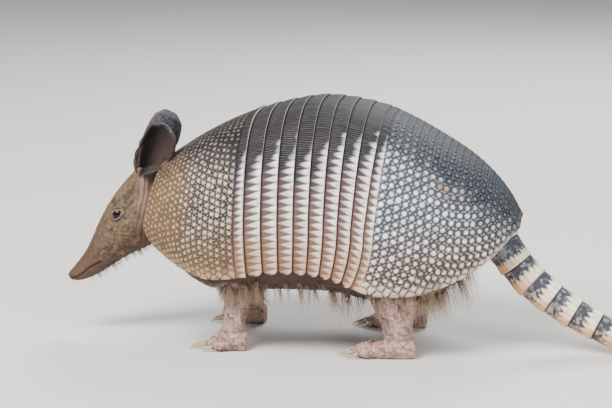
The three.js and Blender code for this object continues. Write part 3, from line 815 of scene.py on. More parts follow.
def tail_pattern(surface, share, around, girth, count, seed, border, rows, rust):
    """Relief and colours of a length of tail: dark scutes in front, and count pale scales behind them.

    share is each row's place along the piece, around is each column's place round it, and girth is its
    length round. border, rows and rust are as in tail_piece.
    """
    row = np.minimum(np.floor(share * rows), rows - 1)[:, None]
    part = share[:, None] * rows - row
    pitch = girth / count
    distance = around[None, :] * count * pitch + 0.5 * pitch * (row % 2)
    number = np.floor(distance / pitch)
    jitter = cell_random(np.stack(np.broadcast_arrays(number % count, row, 0.0), axis=-1), seed)
    phase = np.abs(distance / pitch - number - 0.5) * 2
    begin = border[0] + border[1] * (phase - 0.5) + 0.14 * (jitter - 0.5)
    pale = smooth_step(-0.05, 0.06, part - begin + 0.05 * soft_noise(surface, 1.2, seed))
    seam = np.exp(-(((1 - phase) * pitch / 2 / SEAM_WIDTH) ** 2)) * smooth_step(-0.1, 0.1, part - border[0])
    scute, scute_number = cells(surface, TAIL_SCUTE, seed)
    crack = 1 - smooth_step(0.0, 0.3, scute)
    low = smooth_step(0.55, -0.7, np.sin(2 * math.pi * around)[None, :] + 0.25 * soft_noise(surface, 6, 8))
    light = blend(TAIL_PALE, TAIL_PALE_LOW, low) * (0.86 + 0.2 * jitter)[..., None]
    light = blend(light, TAIL_EDGE, 0.45 * np.clip(soft_noise(surface, 1.3, 19), 0, 1))
    slate = blend(TAIL_SLATE, TAIL_SLATE_LINE, smooth_step(0.45, 0.95, scute_number + 0.25 * low))
    slate = blend(slate, TAIL_EDGE, 0.6 * crack)
    tint = blend(slate, light, np.maximum(pale, 0.45 * rust * low * smooth_step(0.3, 0.8, scute_number)))
    tint = blend(tint, TAIL_EDGE, 0.4 * seam)
    height = 0.35 * pale - 0.3 * seam - 0.22 * crack * (1 - pale) + 0.1 * soft_noise(surface, 1.6, seed)
    return height, tint


def tail_piece(name, line, start, end, cell, count, seed, lip=0.0, border=(0.47, 0.2), rows=1, rust=1.0):
    """A length of tail: dark scales in front and pale ones behind, with a domed cap at each end.

    lip is how far its rear stands out. border gives where the pale scales begin, as a share of the
    length, and how deep its zigzag is. rust is how much pale tan the underside shows among the dark.
    """
    along = np.linspace(start, end, max(6, round((end - start) / cell)) + 1)
    middle = line.radius((start + end) / 2)
    around = np.linspace(0, 1, max(24, round(2 * math.pi * middle / cell)) + 1)
    share = (along - start) / (end - start)
    edge = np.minimum(along - start, end - along)
    radius = line.radius(along) + lip * share**2 - PIECE_ROUND * (1 - smooth_step(0, 0.8, edge))
    surface = line.tube(along, radius[:, None], around)
    height, tint = tail_pattern(surface, share, around, 2 * math.pi * middle, count, seed, border, rows, rust)
    tint = blend(tint, TAIL_EDGE, 0.9 * (1 - smooth_step(0, 0.9, edge))[:, None])
    surface = line.tube(along, radius[:, None] + height * smooth_step(0, 1.5, edge)[:, None], around)
    ends = [line.at(np.array([place])) for place in (start + CAP_DEPTH, end - CAP_DEPTH)]
    front, rear = (np.broadcast_to(place[:, None], surface[:1].shape) for place in ends)
    points = np.concatenate([front, surface, rear])
    tints = np.concatenate([tint[:1], tint, tint[-1:]])
    return grid_mesh(name, points, tints)


# ------------------------------------------------------------------ skin
FLESH = ["head", "neck", "trunk"] + [
    f"{part}_{hand}" for part in ("ear", "foreleg", "forefoot", "hindleg", "hindfoot") for hand, _ in HANDS
]
VOXEL = 0.62
SWELL = 0.22  # closes the gaps between the solids of flesh
EAR_SWELL = 0.85  # gives the ear's thin wall a body
EAR_FOOT = np.array([-129.0, 16.0, 125.0])  # flesh that fills the root of an ear
EAR_FOOT_SIZE = np.array([9.5, 9.0, 12.0])
EAR_VOXEL = 0.5
EAR_ROUNDS = 36  # times an ear is evened out
EVEN = 0.5  # how far a point moves towards its neighbours each time
SKIN_ROUNDS = (5, 20, 60)  # evening out all, all but the ears, and all but ears, feet and most of the head
SKIN_TRIANGLES = 190000
FINENESS = 0.0012  # how strongly thinning the skin spares the head and feet
LEG_PLACES = ((-49, 42, 20, 18), (78, 46, 30, 20))  # X, Y, half length and half width of each leg
NAPE = np.array([-113.0, 0.0, 110.0])
HEAD_TURN = math.radians(8)
HEAD_TILT = math.radians(4)
EYE_CENTRE = np.array([-151.0, 17.5, 102.8])
EYE_LOOK = unit(np.array([-0.42, 0.9, 0.12]))
EYE_LONG = np.array([0.87, 0.0, 0.5])
EYE_RADIUS = 5.4
LID_OPENING = (5.0, 2.3)  # half length and half height of the opening between the lids
LID_REACH = 11.0  # how far from the eye's centre its lids reach
LID_THICKNESS = 0.5
LID_RIDGE = 0.55  # how far the lid stands out along its edge
LID_CREASE = 2.1  # measure of the crease round the lids
SOCKET_DEPTH = 0.9
MOUTH_LINE = ((-199, 45), (-188, 46.9), (-181.6, 51.3), (-177.1, 55.6), (-171.1, 59.3), (-167, 61.5))
MOUTH_DEPTH = 1.1
NOSTRIL = np.array([-197.0, 2.9, 45.5])
NOSTRIL_DEPTH = 1.6
SNOUT = (-158, -176)  # X where the head's scales give way to the bare snout
SKIN_SCUTE = 3.2
HEAD_STRETCH = np.array([0.72, 1.0, 0.85])  # the head's scutes are longer, by one over these
EAR_STRETCH = np.array([2.2, 2.2, 2.2])  # and the ear's are smaller
NECK_FOLD = 4.1  # distance between two folds of the neck
SNOUT_FOLD = 3.1  # and of the snout


def turn_matrix(axis, angle):
    """A turn round an axis, as an array."""
    return np.array(Matrix.Rotation(angle, 3, axis))


HEAD_MATRIX = turn_matrix("Z", HEAD_TURN) @ turn_matrix("X", HEAD_TILT)


def to_head(points):
    """Points in the head's own frame, in which it looks straight ahead."""
    return (points - NAPE - (BODY_X, 0, 0)) @ HEAD_MATRIX + NAPE


def from_head(points):
    """Points of the head's own frame, where they are in the scene."""
    return (points - NAPE) @ HEAD_MATRIX.T + NAPE + (BODY_X, 0, 0)


def mesh_points(mesh):
    """A mesh's points in millimetres."""
    flat = np.empty(len(mesh.vertices) * 3)
    mesh.vertices.foreach_get("co", flat)
    return flat.reshape(-1, 3) / MM


def mesh_normals(mesh):
    flat = np.empty(len(mesh.vertices) * 3)
    mesh.vertex_normals.foreach_get("vector", flat)
    return flat.reshape(-1, 3)


def mesh_edges(mesh):
    flat = np.empty(len(mesh.edges) * 2, np.int32)
    mesh.edges.foreach_get("vertices", flat)
    return flat.reshape(-1, 2)


def move_points(mesh, points):
    """Puts a mesh's points at these places, in millimetres."""
    mesh.vertices.foreach_set("co", (points * MM).ravel())
    mesh.update()


def relax(mesh, weights, rounds):
    """Evens out a mesh by moving each point towards the middle of its neighbours."""
    points = mesh_points(mesh)
    edges = mesh_edges(mesh)
    count = np.bincount(edges.ravel(), minlength=len(points))
    for _ in range(rounds):
        middle = np.stack([
            np.bincount(edges[:, 0], points[edges[:, 1], k], len(points))
            + np.bincount(edges[:, 1], points[edges[:, 0], k], len(points))
            for k in range(3)
        ], axis=-1) / count[:, None]
        points += (middle - points) * weights[:, None]
    move_points(mesh, points)


def with_modifier(mesh, kind, **values):
    """The mesh after one modifier."""
    holder = bpy.data.objects.new("holder", mesh)
    bpy.context.scene.collection.objects.link(holder)
    weights = values.pop("weights", None)
    modifier = holder.modifiers.new(kind, kind)
    for key, value in values.items():
        setattr(modifier, key, value)
    if weights is not None:
        group = holder.vertex_groups.new(name="part")
        for level in np.unique(weights):
            group.add(np.flatnonzero(weights == level).tolist(), float(level), "REPLACE")
        modifier.vertex_group = "part"
    graph = bpy.context.evaluated_depsgraph_get()
    made = bpy.data.meshes.new_from_object(holder.evaluated_get(graph))
    bpy.data.objects.remove(holder)
    bpy.data.meshes.remove(mesh)
    return made


def merged_copy(node):
    """A copy of a node's solid with its loose triangles merged."""
    shape = bmesh.new()
    shape.from_mesh(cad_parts[node].data)
    bmesh.ops.remove_doubles(shape, verts=shape.verts, dist=MERGE_DISTANCE * MM)
    mesh = bpy.data.meshes.new(node + "_copy")
    shape.to_mesh(mesh)
    shape.free()
    return mesh


def joined_flesh():
    """The solids of flesh as one closed skin: swollen until they meet, and remeshed."""
    whole = bmesh.new()
    for _, side in HANDS:
        place = from_head(EAR_FOOT * (1, side, 1)) * MM
        spot = Matrix.Translation(place) @ Matrix.Diagonal((*EAR_FOOT_SIZE * MM, 1))
        bmesh.ops.create_icosphere(whole, subdivisions=3, radius=1, matrix=spot)
    for node in FLESH + ["eye_left", "eye_right"]:
        ear = node.startswith("ear")
        part = merged_copy(node)
        move_points(part, mesh_points(part) + mesh_normals(part) * (EAR_SWELL if ear else SWELL))
        if ear:
            part = with_modifier(part, "REMESH", mode="VOXEL", voxel_size=EAR_VOXEL * MM)
            relax(part, np.full(len(part.vertices), EVEN), EAR_ROUNDS)
        whole.from_mesh(part)
        bpy.data.meshes.remove(part)
    mesh = bpy.data.meshes.new("skin")
    whole.to_mesh(mesh)
    whole.free()
    voxel = VOXEL * 1.0
    return with_modifier(mesh, "REMESH", mode="VOXEL", voxel_size=voxel * MM)


def region(points):
    """Shares of each part of the body at each point."""
    x = points[:, 0] - BODY_X
    z = points[:, 2]
    local = to_head(points)
    ear = smooth_step(133, 138, local[:, 2]) * smooth_step(6, 10, np.abs(local[:, 1]))
    ear = ear * smooth_step(-97, -104, x)
    head = smooth_step(-116, -126, x) * (1 - ear)
    foot = smooth_step(19, 13, z)
    leg = smooth_step(66, 56, z) * (1 - foot) * (1 - head)
    spread = [
        np.hypot((x - at_x) / long, (np.abs(points[:, 1]) - at_y) / wide)
        for at_x, at_y, long, wide in LEG_PLACES
    ]
    leg = leg * smooth_step(1.25, 1.0, np.minimum(*spread))
    trunk = 1 - np.maximum.reduce([ear, head, foot, leg])
    return {"ear": ear, "head": head, "foot": foot, "leg": leg, "trunk": trunk}


def hidden(points):
    """How far a point lies under the shell, where no one sees it, from 0 to 1."""
    x = points[:, 0] - BODY_X
    level = 84 + 12 * smooth_step(90, 150, x)
    return smooth_step(level, level + 8, points[:, 2]) * smooth_step(-100, -94, x)


def line_distance(places, line):
    """Distance of places in a plane from a bent line."""
    line = np.array(line, float)
    best = np.full(len(places), 1e9)
    for start, end in zip(line[:-1], line[1:]):
        run = end - start
        share = np.clip((places - start) @ run / (run @ run), 0, 1)
        best = np.minimum(best, np.linalg.norm(places - start - share[:, None] * run, axis=1))
    return best


def lid_measure(local, side):
    """How far points lie from the opening between the lids (1 on its edge), their way from the eye's
    centre, and how far they lie ahead of it."""
    mirror = np.array([1.0, side, 1.0])
    look = EYE_LOOK * mirror
    long = EYE_LONG * mirror
    long = unit(long - look * (long @ look))
    high = np.cross(look, long)
    offset = local - EYE_CENTRE * mirror
    a = offset @ long
    b = offset @ high
    width = LID_OPENING[1] * np.clip(1 - (a / LID_OPENING[0]) ** 2, 0.02, 1) ** 0.8
    measure = 1 + np.maximum(np.abs(b) - width, np.abs(a) - LID_OPENING[0]) / LID_OPENING[1]
    return measure, offset, offset @ look


def sculpt_eyes(local):
    """Lids over the eyes, and a socket behind the opening between them."""
    local = local.copy()
    for _, side in HANDS:
        measure, offset, ahead = lid_measure(local, side)
        reach = np.linalg.norm(offset, axis=1)
        near = (reach < LID_REACH) & (ahead > 0.5)
        lid = EYE_RADIUS + LID_THICKNESS + LID_RIDGE * np.exp(-(((measure - 1.3) / 0.25) ** 2))
        fade = smooth_step(LID_REACH, 7.0, reach)
        crease = 0.8 * np.exp(-(((measure - LID_CREASE) / 0.22) ** 2)) * fade
        outside = np.maximum(np.maximum(reach, lid * fade) - crease, EYE_RADIUS + 0.25)
        wanted = blend(outside, EYE_RADIUS - SOCKET_DEPTH, smooth_step(1.06, 0.9, measure))
        moved = EYE_CENTRE * (1, side, 1) + offset * (wanted / np.maximum(reach, 1e-6))[:, None]
        local[near] = moved[near]
    return local


def skin_depth(points, local, parts):
    """How far each point of the skin is pressed in, by mouth, nostrils, folds, scutes and wrinkles."""
    depth = np.zeros(len(points))
    mouth = line_distance(local[:, [0, 2]], MOUTH_LINE)
    depth += MOUTH_DEPTH * np.exp(-((mouth / 0.7) ** 2)) * parts["head"]
    for _, side in HANDS:
        nostril = np.linalg.norm(local - NOSTRIL * (1, side, 1), axis=1)
        depth += NOSTRIL_DEPTH * np.exp(-((nostril / 1.2) ** 2))
    depth += 0.8 * neck_creases(local) * parts["head"]
    snout = smooth_step(*SNOUT, local[:, 0]) * parts["head"]
    slant = local[:, 0] * 0.75 + local[:, 2] * 0.66 + 0.8 * soft_noise(local, 7, 26)
    depth += 0.3 * snout * np.abs(np.sin(math.pi * slant / SNOUT_FOLD)) ** 0.7
    scute, _ = skin_scutes(local, parts)
    edge = 1 - smooth_step(0.0, 0.3, scute)
    depth += 0.42 * edge * (parts["head"] * (1 - 0.6 * snout) * (1 - 0.7 * neck_zone(local)))
    depth += 0.4 * edge * np.maximum(parts["leg"], parts["foot"])
    depth += parts["trunk"] * 0.5 * np.abs(soft_noise(points * (1, 0.35, 1), 3.2, 23))
    depth += parts["ear"] * 0.2 * edge
    depth += 0.2 * soft_noise(points, 2.2, 25) * (1 - parts["ear"])
    return depth


def sculpt_skin(mesh):
    """Lids first, and then the skin's relief along its normals, no lower than the floor."""
    points = mesh_points(mesh)
    parts = region(points)
    local = to_head(points)
    head = parts["head"] > 0
    local[head] = sculpt_eyes(local[head])
    points[head] = from_head(local)[head]
    move_points(mesh, points)
    normals = mesh_normals(mesh)
    points -= normals * skin_depth(points, to_head(points), parts)[:, None]
    points[:, 2] = np.maximum(points[:, 2], 0)
    move_points(mesh, points)


def skin_scutes(local, parts):
    """The skin's scutes, long on the head, plain on the legs and small on the ears: as cells gives them."""
    stretch = blend(HEAD_STRETCH, np.ones(3), np.maximum(parts["leg"], parts["foot"]))
    return cells(local * blend(stretch, EAR_STRETCH, parts["ear"]), SKIN_SCUTE, 41)


def neck_zone(local):
    """The folded skin between the cheek and the shell."""
    zone = smooth_step(-140, -133, local[:, 0]) * smooth_step(8, 16, np.abs(local[:, 1]))
    return zone * smooth_step(66, 78, local[:, 2]) * smooth_step(140, 130, local[:, 2])


def neck_creases(local):
    """The creases between the neck's folds, from 0 to 1."""
    wave = local[:, 0] - 0.17 * local[:, 2] + 1.6 * soft_noise(local * (1, 1, 0.6), 8, 21)
    return neck_zone(local) * (1 - np.abs(np.sin(math.pi * wave / NECK_FOLD))) ** 2.2


HEAD_TAN = srgb(108, 90, 68)
HEAD_PALE = srgb(136, 118, 92)
HEAD_DARK = srgb(52, 38, 30)
SNOUT_PINK = srgb(80, 55, 46)
SNOUT_TIP = srgb(112, 74, 64)
CHEEK_RED = srgb(98, 57, 46)
NECK_PALE = srgb(142, 110, 100)
NECK_RED = srgb(70, 32, 28)
EAR_INSIDE = srgb(13, 5, 8)
# the inside of the ear where it faces forward: painted light
EAR_INSIDE_LIT = srgb(96, 78, 74)
EAR_BACK = srgb(36, 37, 44)
EAR_SPECKLE = srgb(98, 100, 106)
# painted highlight along the ear's rim
EAR_RIM_HIGHLIGHT = srgb(122, 108, 102)
LEG_PINK = srgb(188, 156, 144)
LEG_SPOT = srgb(104, 78, 70)
BELLY_DARK = srgb(66, 50, 42)
LID_PALE = srgb(134, 112, 92)
LID_DARK = srgb(46, 32, 28)
# painted shade under the jaw
THROAT_SHADE = srgb(62, 46, 38)


def head_tints(points, local, normals, scute, number):
    """Colours of the head: scales and streaks, and over them snout, cheek, painted shade under the jaw, mouth
    with painted shade in its slit, neck and lids.
    """
    x, z = local[:, 0], local[:, 2]
    patches = soft_noise(points, 8, 32)
    streak_places = np.column_stack([0.3 * (0.66 * x + 0.75 * z), local[:, 1], 1.1 * (0.66 * z - 0.75 * x)])
    along_snout = soft_noise(streak_places, 1.5, 33)
    tint = blend(HEAD_TAN, HEAD_PALE, smooth_step(0.55, 0.95, number) * 0.8)
    dark = smooth_step(0.0, 0.8, 0.7 * along_snout + 0.5 * patches + 0.25 * number)
    tint = blend(tint, HEAD_DARK, 0.8 * dark)
    tint = blend(tint, HEAD_DARK, 0.55 * (1 - smooth_step(0.0, 0.22, scute)))
    snout = 0.7 * smooth_step(*SNOUT, x + 4 * patches)
    tint = blend(tint, SNOUT_PINK * (1 + 0.25 * along_snout)[:, None], snout)
    tint = blend(tint, SNOUT_TIP, 0.6 * smooth_step(-192, -198, x))
    cheek = smooth_step(-163, -150, x) * smooth_step(92, 78, z) * smooth_step(-0.9, 0.1, normals[:, 2])
    tint = blend(tint, CHEEK_RED, 0.55 * cheek * (0.6 + 0.4 * along_snout))
    # Darker where the skin faces down under the jaw: painted shade.
    under = smooth_step(-0.25, -0.75, normals[:, 2]) * smooth_step(-192, -170, x)
    tint = blend(tint, THROAT_SHADE, under * 0.85)
    mouth = line_distance(local[:, [0, 2]], MOUTH_LINE)
    tint = blend(tint, SNOUT_PINK * 0.7, 0.6 * np.exp(-((mouth / 1.8) ** 2)))
    # A thin dark line along the mouth: painted shade in its slit.
    tint = blend(tint, LID_DARK * 0.5, 0.75 * np.exp(-((mouth / 0.65) ** 2)))
    return lid_tints(neck_tints(tint, local, along_snout), local)


def neck_tints(tint, local, grain):
    """The tint with the neck's folds: pale above, red below, and dark red in their creases, partly the skin's
    own red and partly painted shade.
    """
    x, z = local[:, 0], local[:, 2]
    folds = neck_zone(local)
    fold_pale = folds * smooth_step(-137, -131, x) * smooth_step(84, 122, z)
    tint = blend(tint, NECK_PALE * (1 + 0.2 * grain)[:, None], 0.2 * folds + 0.6 * fold_pale)
    tint = blend(tint, CHEEK_RED, folds * 0.7 * smooth_step(96, 80, z))
    # Dark red in the creases between the folds: the skin's own red, deepened as painted shade in the grooves.
    return blend(tint, NECK_RED, 0.75 * smooth_step(0.1, 0.7, neck_creases(local)))


def lid_tints(tint, local):
    """The tint with the lids: pale, with a dark edge and painted shade in the crease round them."""
    for _, side in HANDS:
        measure, offset, ahead = lid_measure(local, side)
        close = (np.linalg.norm(offset, axis=1) < 10) & (ahead > 0)
        tint = blend(tint, LID_PALE, 0.7 * smooth_step(LID_CREASE, 1.4, measure) * close)
        # Dark along the crease round the lids: painted shade in the fold.
        tint = blend(tint, LID_DARK, 0.85 * np.exp(-(((measure - LID_CREASE) / 0.25) ** 2)) * close)
        tint = blend(tint, LID_DARK, smooth_step(1.3, 1.08, measure) * close)
    return tint


def ear_tints(local, normals, scute, number, side):
    """Colours of an ear: dark inside with painted light where it faces forward, speckled on its back, and
    with a painted highlight along its rim.
    """
    mouth_way = HEAD_MATRIX @ unit(np.array([-0.5, 0.85 * side, 0.1]))
    facing = normals @ mouth_way
    back = blend(EAR_BACK, EAR_SPECKLE, 0.8 * smooth_step(0.25, 0.5, scute) * smooth_step(0.3, 0.7, number))
    # Paler where the inside of the ear faces forward: painted light.
    inside = blend(EAR_INSIDE, EAR_INSIDE_LIT, smooth_step(-0.25, 0.55, -normals[:, 0]) * 0.4)
    back = blend(back, HEAD_TAN, smooth_step(142, 134, local[:, 2]) * smooth_step(0.0, -0.3, facing))
    tint = blend(back, inside, smooth_step(-0.05, 0.3, facing))
    # Paler where the ear turns edge-on, along its rim: a painted highlight.
    return blend(tint, EAR_RIM_HIGHLIGHT, np.exp(-((facing / 0.2) ** 2)) * 0.75)


def paint_skin(mesh):
    """Colours the skin, part by part."""
    points = mesh_points(mesh)
    normals = mesh_normals(mesh)
    parts = region(points)
    local = to_head(points)
    scute, number = skin_scutes(local, parts)
    grain = soft_noise(points, 1.8, 31)
    patches = soft_noise(points, 8, 32)
    tint = np.broadcast_to(BELLY_DARK, points.shape).copy()
    tint = blend(tint, SKIN_RED, hidden(points))
    skin = blend(LEG_PINK, LEG_SPOT, 0.8 * smooth_step(-0.1, 0.8, grain + 0.6 * patches + number - 0.5))
    skin = blend(skin, LEG_SPOT, 0.6 * (1 - smooth_step(0.0, 0.25, scute)))
    tint = blend(tint, skin, np.maximum(parts["leg"], parts["foot"]))
    tint = blend(tint, head_tints(points, local, normals, scute, number), parts["head"])
    for _, side in HANDS:
        own = (np.sign(local[:, 1]) == side) * parts["ear"]
        tint = blend(tint, ear_tints(local, normals, scute, number, side), own)
    paint(mesh, tint * (1 + 0.08 * grain)[:, None])


def skin_mesh():
    """The skin, evened out, sculpted, thinned where it's hidden or plain, and coloured."""
    mesh = joined_flesh()
    parts = region(mesh_points(mesh))
    even = np.full(len(mesh.vertices), EVEN)
    not_ear = even * (1 - parts["ear"])
    plain = not_ear * (1 - parts["foot"]) * (1 - 0.6 * parts["head"])
    for weights, rounds in zip((even, not_ear, plain), SKIN_ROUNDS):
        relax(mesh, weights, rounds)
    sculpt_skin(mesh)
    points = mesh_points(mesh)
    parts = region(points)
    weights = np.maximum(hidden(points), 0.4 * parts["leg"] + 0.6 * parts["trunk"])
    weights = np.maximum(np.round(weights, 1), 0.05)
    share = min(1.0, SKIN_TRIANGLES / (2 * len(mesh.polygons)))
    mesh = with_modifier(mesh, "DECIMATE", ratio=share, vertex_group_factor=FINENESS, weights=weights)
    mesh.name = "skin"
    paint_skin(mesh)
    mesh.shade_smooth()
    return mesh


# ------------------------------------------------------------------ hair
STRANDS = 7  # hairs in a tuft
PATCH = 0.003  # side of a tuft's place on the map
MAP_AXIS = 90.0  # height of the line that the body is unrolled round
DOWN = np.array([0.0, 0.0, -1.0])
ASKEW = (0.31, 0.52, 0.8)  # no hair grows that way, so it gives each one its sides
TUFT_SPREAD = 0.7  # how far a tuft's hairs stand from its middle
WAY_SPREAD = 0.22  # how far their ways differ
OUTWARD = 0.55  # how far a tuft stands out from the skin, against its way along it
FLOOR_GAP = 0.3  # the lowest that a hair hangs


def strand_mesh():
    """One three-sided hair along Z, from 0 to 1, with a point at its tip."""
    shape = bmesh.new()
    shape.loops.layers.uv.new("OFBake")
    bmesh.ops.create_cone(shape, cap_ends=True, segments=3, radius1=1.0, radius2=0.15, depth=1.0)
    bmesh.ops.translate(shape, verts=shape.verts, vec=(0, 0, 0.5))
    long_edges = [e for e in shape.edges if abs(e.verts[0].co.z - e.verts[1].co.z) > 0.5]
    bmesh.ops.subdivide_edges(shape, edges=long_edges, cuts=3, use_grid_fill=True)
    bmesh.ops.triangulate(shape, faces=shape.faces)
    for vert in shape.verts:
        width = (1 - vert.co.z) ** 0.7 * 0.9 + 0.1
        grow = width / math.hypot(vert.co.x, vert.co.y)
        vert.co.x *= grow
        vert.co.y *= grow
    mesh = bpy.data.meshes.new("strand")
    shape.to_mesh(mesh)
    shape.free()
    return mesh


def free_cells(places):
    """Gives each tuft its own cell of the map, at its place or the next free one."""
    side = int(1 / PATCH)
    taken = set()
    found = []
    for u, v in (np.clip(places, 0, 0.999) * side).astype(int):
        cell = int(v) * side + int(u)
        while cell in taken:
            cell = (cell + 1) % (side * side)
        taken.add(cell)
        found.append((cell % side, cell // side))
    return np.array(found) * PATCH


def hair_points(rng, shape, roots, ways, lengths, width, droop):
    """The points of one hair for each root, which leans its way and then hangs down."""
    count = len(roots)
    root = roots + TUFT_SPREAD * rng.normal(0, 1, (count, 3))
    way = unit(ways + WAY_SPREAD * rng.normal(0, 1, (count, 3)))
    length = lengths * rng.uniform(0.65, 1.15, count)
    bend = rng.normal(0, 0.12, (count, 3))
    girth = width * (0.75 + 0.5 * rng.random(count))
    along = shape[:, 2]
    path = way[:, None] * along[:, None] + (droop * DOWN + bend)[:, None] * along[:, None] ** 2
    path = path / np.maximum(1.0, 0.6 + 0.5 * droop)
    across = unit(np.cross(way, ASKEW))
    other = np.cross(way, across)
    body = (across[:, None] * shape[:, 0:1] + other[:, None] * shape[:, 1:2]) * girth[:, None, None]
    points = (root[:, None] + path * length[:, None, None] + body).reshape(-1, 3)
    points[:, 2] = np.maximum(points[:, 2], FLOOR_GAP)
    return points


def hair_mesh(name, roots, ways, lengths, width, droop, colours, seed):
    """Tufts of hairs: each root carries a few. The two colours are those of a hair's root and tip."""
    rng = np.random.default_rng(seed)
    count = len(roots) * STRANDS
    template = strand_mesh()
    shape = mesh_points(template) * MM
    mesh = with_modifier(template, "ARRAY", count=count, use_relative_offset=False, use_constant_offset=False)
    tuft = np.repeat(np.arange(len(roots)), STRANDS)
    points = hair_points(rng, shape, roots[tuft], unit(ways)[tuft], lengths[tuft], width, droop)
    move_points(mesh, points)
    tone = rng.uniform(0.7, 1.2, count)
    at_root, at_tip = colours
    tints = blend(at_root, at_tip, np.tile(shape[:, 2], count)) * np.repeat(tone, len(shape))[:, None]
    paint(mesh, tints)
    place_on_map(mesh, roots, tuft, shape)
    mesh.name = name
    mesh.shade_smooth()
    return mesh


def place_on_map(mesh, roots, tuft, shape):
    """Lays each tuft at its root's place on the body unrolled round its length."""
    low = roots.min(axis=0)
    high = roots.max(axis=0)
    turn = np.arctan2(roots[:, 1], roots[:, 2] - MAP_AXIS) / (2 * math.pi) + 0.5
    places = np.column_stack([(roots[:, 0] - low[0]) / (high[0] - low[0] + 1), turn])
    corner = free_cells(places)[tuft]
    number = np.arange(len(tuft)) % STRANDS
    corner = corner + np.column_stack([number % 3, number // 3]) * PATCH / 3
    side = np.arctan2(shape[:, 1], shape[:, 0]) / (2 * math.pi) + 0.5
    inner = np.column_stack([0.1 + 0.8 * side, 0.1 + 0.8 * shape[:, 2]]) * PATCH / 3
    vertex = np.empty(len(mesh.loops), np.int32)
    mesh.loops.foreach_get("vertex_index", vertex)
    spots = corner[vertex // len(shape)] + inner[vertex % len(shape)]
    mesh.uv_layers["OFBake"].data.foreach_set("uv", spots.ravel())


def skin_samples(points, normals, chosen, count, seed):
    """A fixed random choice of places on the skin."""
    rng = np.random.default_rng(seed)
    index = rng.choice(np.flatnonzero(chosen), count, replace=False)
    return points[index], normals[index]


def hair_material():
    """Hair that takes its colour from the mesh, with a little unevenness."""
    material, tree, shader = new_material("Hair", 0.45, 0.35)
    link = tree.links.new
    place = add_node(tree, "ShaderNodeTexCoord").outputs["Object"]
    tint = add_node(tree, "ShaderNodeAttribute", attribute_name="Tint").outputs["Color"]
    noise = add_node(tree, "ShaderNodeTexNoise", Scale=1 / (2.5 * MM), Detail=2.0)
    shade = add_node(tree, "ShaderNodeMapRange")
    shade.inputs["To Min"].default_value = 0.75
    shade.inputs["To Max"].default_value = 1.25
    mixed = add_node(tree, "ShaderNodeVectorMath", operation="SCALE")
    link(place, noise.inputs["Vector"])
    link(noise.outputs["Fac"], shade.inputs["Value"])
    link(tint, mixed.inputs[0])
    link(shade.outputs["Result"], mixed.inputs["Scale"])
    link(mixed.outputs["Vector"], shader.inputs["Base Color"])
    return material


HAIR_DARK = srgb(70, 54, 42)
HAIR_BROWN = srgb(106, 84, 66)
HAIR_TAN = srgb(198, 172, 144)


def within(low, values, high):
    """Which values lie between low and high."""
    return (values > low) & (values < high)


def hair_zones(points, normals):
    """Where hair grows: name, choice of skin, tufts, way, lengths, droop, width and colours."""
    x, y, z = (points - (BODY_X, 0, 0)).T
    y = np.abs(y)
    ahead, _, up = to_head(points).T
    down = normals[:, 2]
    belly = (down < 0.3) & within(50, z, 78) & within(-60, x, 112) & (y < 65)
    before_hind = (down < 0.3) & within(46, z, 80) & within(26, x, 50) & within(26, y, 56)
    behind_hind = (down < 0) & within(44, z, 80) & within(92, x, 130) & within(8, y, 46)
    hind = within(44, x, 110) & within(18, z, 56) & (y > 22)
    fore = within(-78, x, -28) & within(20, z, 66) & (y > 22)
    throat = within(-178, ahead, -126) & (down < -0.45) & (up < 92)
    cheek = within(-160, ahead, -134) & within(66, up, 92) & (down > -0.6)
    dim = (HAIR_DARK, HAIR_TAN * 0.7)
    tan = (HAIR_BROWN, HAIR_TAN)
    brown = (HAIR_DARK, HAIR_BROWN)
    return (
        ("belly_hair", belly, 300, (0.35, 0, -0.9), (7, 14), 0.5, 1.0, dim),
        ("flank_hair", before_hind | behind_hind, 110, (0.3, 0, -0.9), (13, 22), 0.5, 1.0, tan),
        ("hind_leg_hair", hind, 80, (0.35, 0, -0.9), (4, 8), 0.4, 1.0, dim),
        ("fore_leg_hair", fore, 80, (0.3, 0, -0.9), (4, 8), 0.4, 1.0, dim),
        ("throat_hair", throat, 110, (0.75, 0, -0.6), (3, 6), 0.4, 0.6, brown),
        ("cheek_hair", cheek, 26, (0.8, 0, -0.35), (3, 5), 0.3, 0.6, tan),
    )


# ------------------------------------------------------------------ settings a user would change
def colour_property(name, description, colour):
    """A colour that a user can change."""
    return bpy.props.FloatVectorProperty(
        name=name, description=description, subtype="COLOR", size=3, min=0, max=1, default=tuple(colour)
    )


def length_property(name, description, millimetres):
    """A length that a user can change."""
    return bpy.props.FloatProperty(
        name=name, description=description, subtype="DISTANCE", unit="LENGTH", default=millimetres * MM, min=0
    )


def number_property(name, description, value, highest=1000):
    """A plain number that a user can change."""
    return bpy.props.FloatProperty(name=name, description=description, default=value, min=0, max=highest)


class ArmadilloArmour(bpy.types.PropertyGroup):
    """Meshes, scales and gloss of the shields and bands"""

    cell: length_property("Cell", "Size of the mesh faces of the shell", 0.72)
    band_cell: length_property("Band cell", "Size of the mesh faces of the bands", 0.52)
    bead_pitch: length_property("Scale pitch", "Distance between the round scales of the hip shield", 6.4)
    band_pitch: length_property("Wedge pitch", "Width of the wedge scales of the bands", 5.7)
    roughness: number_property("Roughness", "Roughness of the shell", 0.6, 1)


class ArmadilloEye(bpy.types.PropertyGroup):
    """Size and colour of the eyes"""

    colour: colour_property("Colour", "Colour of the eyes", srgb(14, 9, 8))
    radius: length_property("Radius", "Radius of the eyes", EYE_RADIUS)


class ArmadilloHair(bpy.types.PropertyGroup):
    """Thickness of the hair"""

    width: length_property("Width", "Thickness of a hair at its root", 0.32)


class ArmadilloStage(bpy.types.PropertyGroup):
    """Floor and lights"""

    floor_colour: colour_property("Floor colour", "Colour of the floor", srgb(214, 212, 208))
    key_power: number_property("Key light", "Power in watts", 100)
    sky: number_property("Sky", "Strength of the light all round", 0.4)


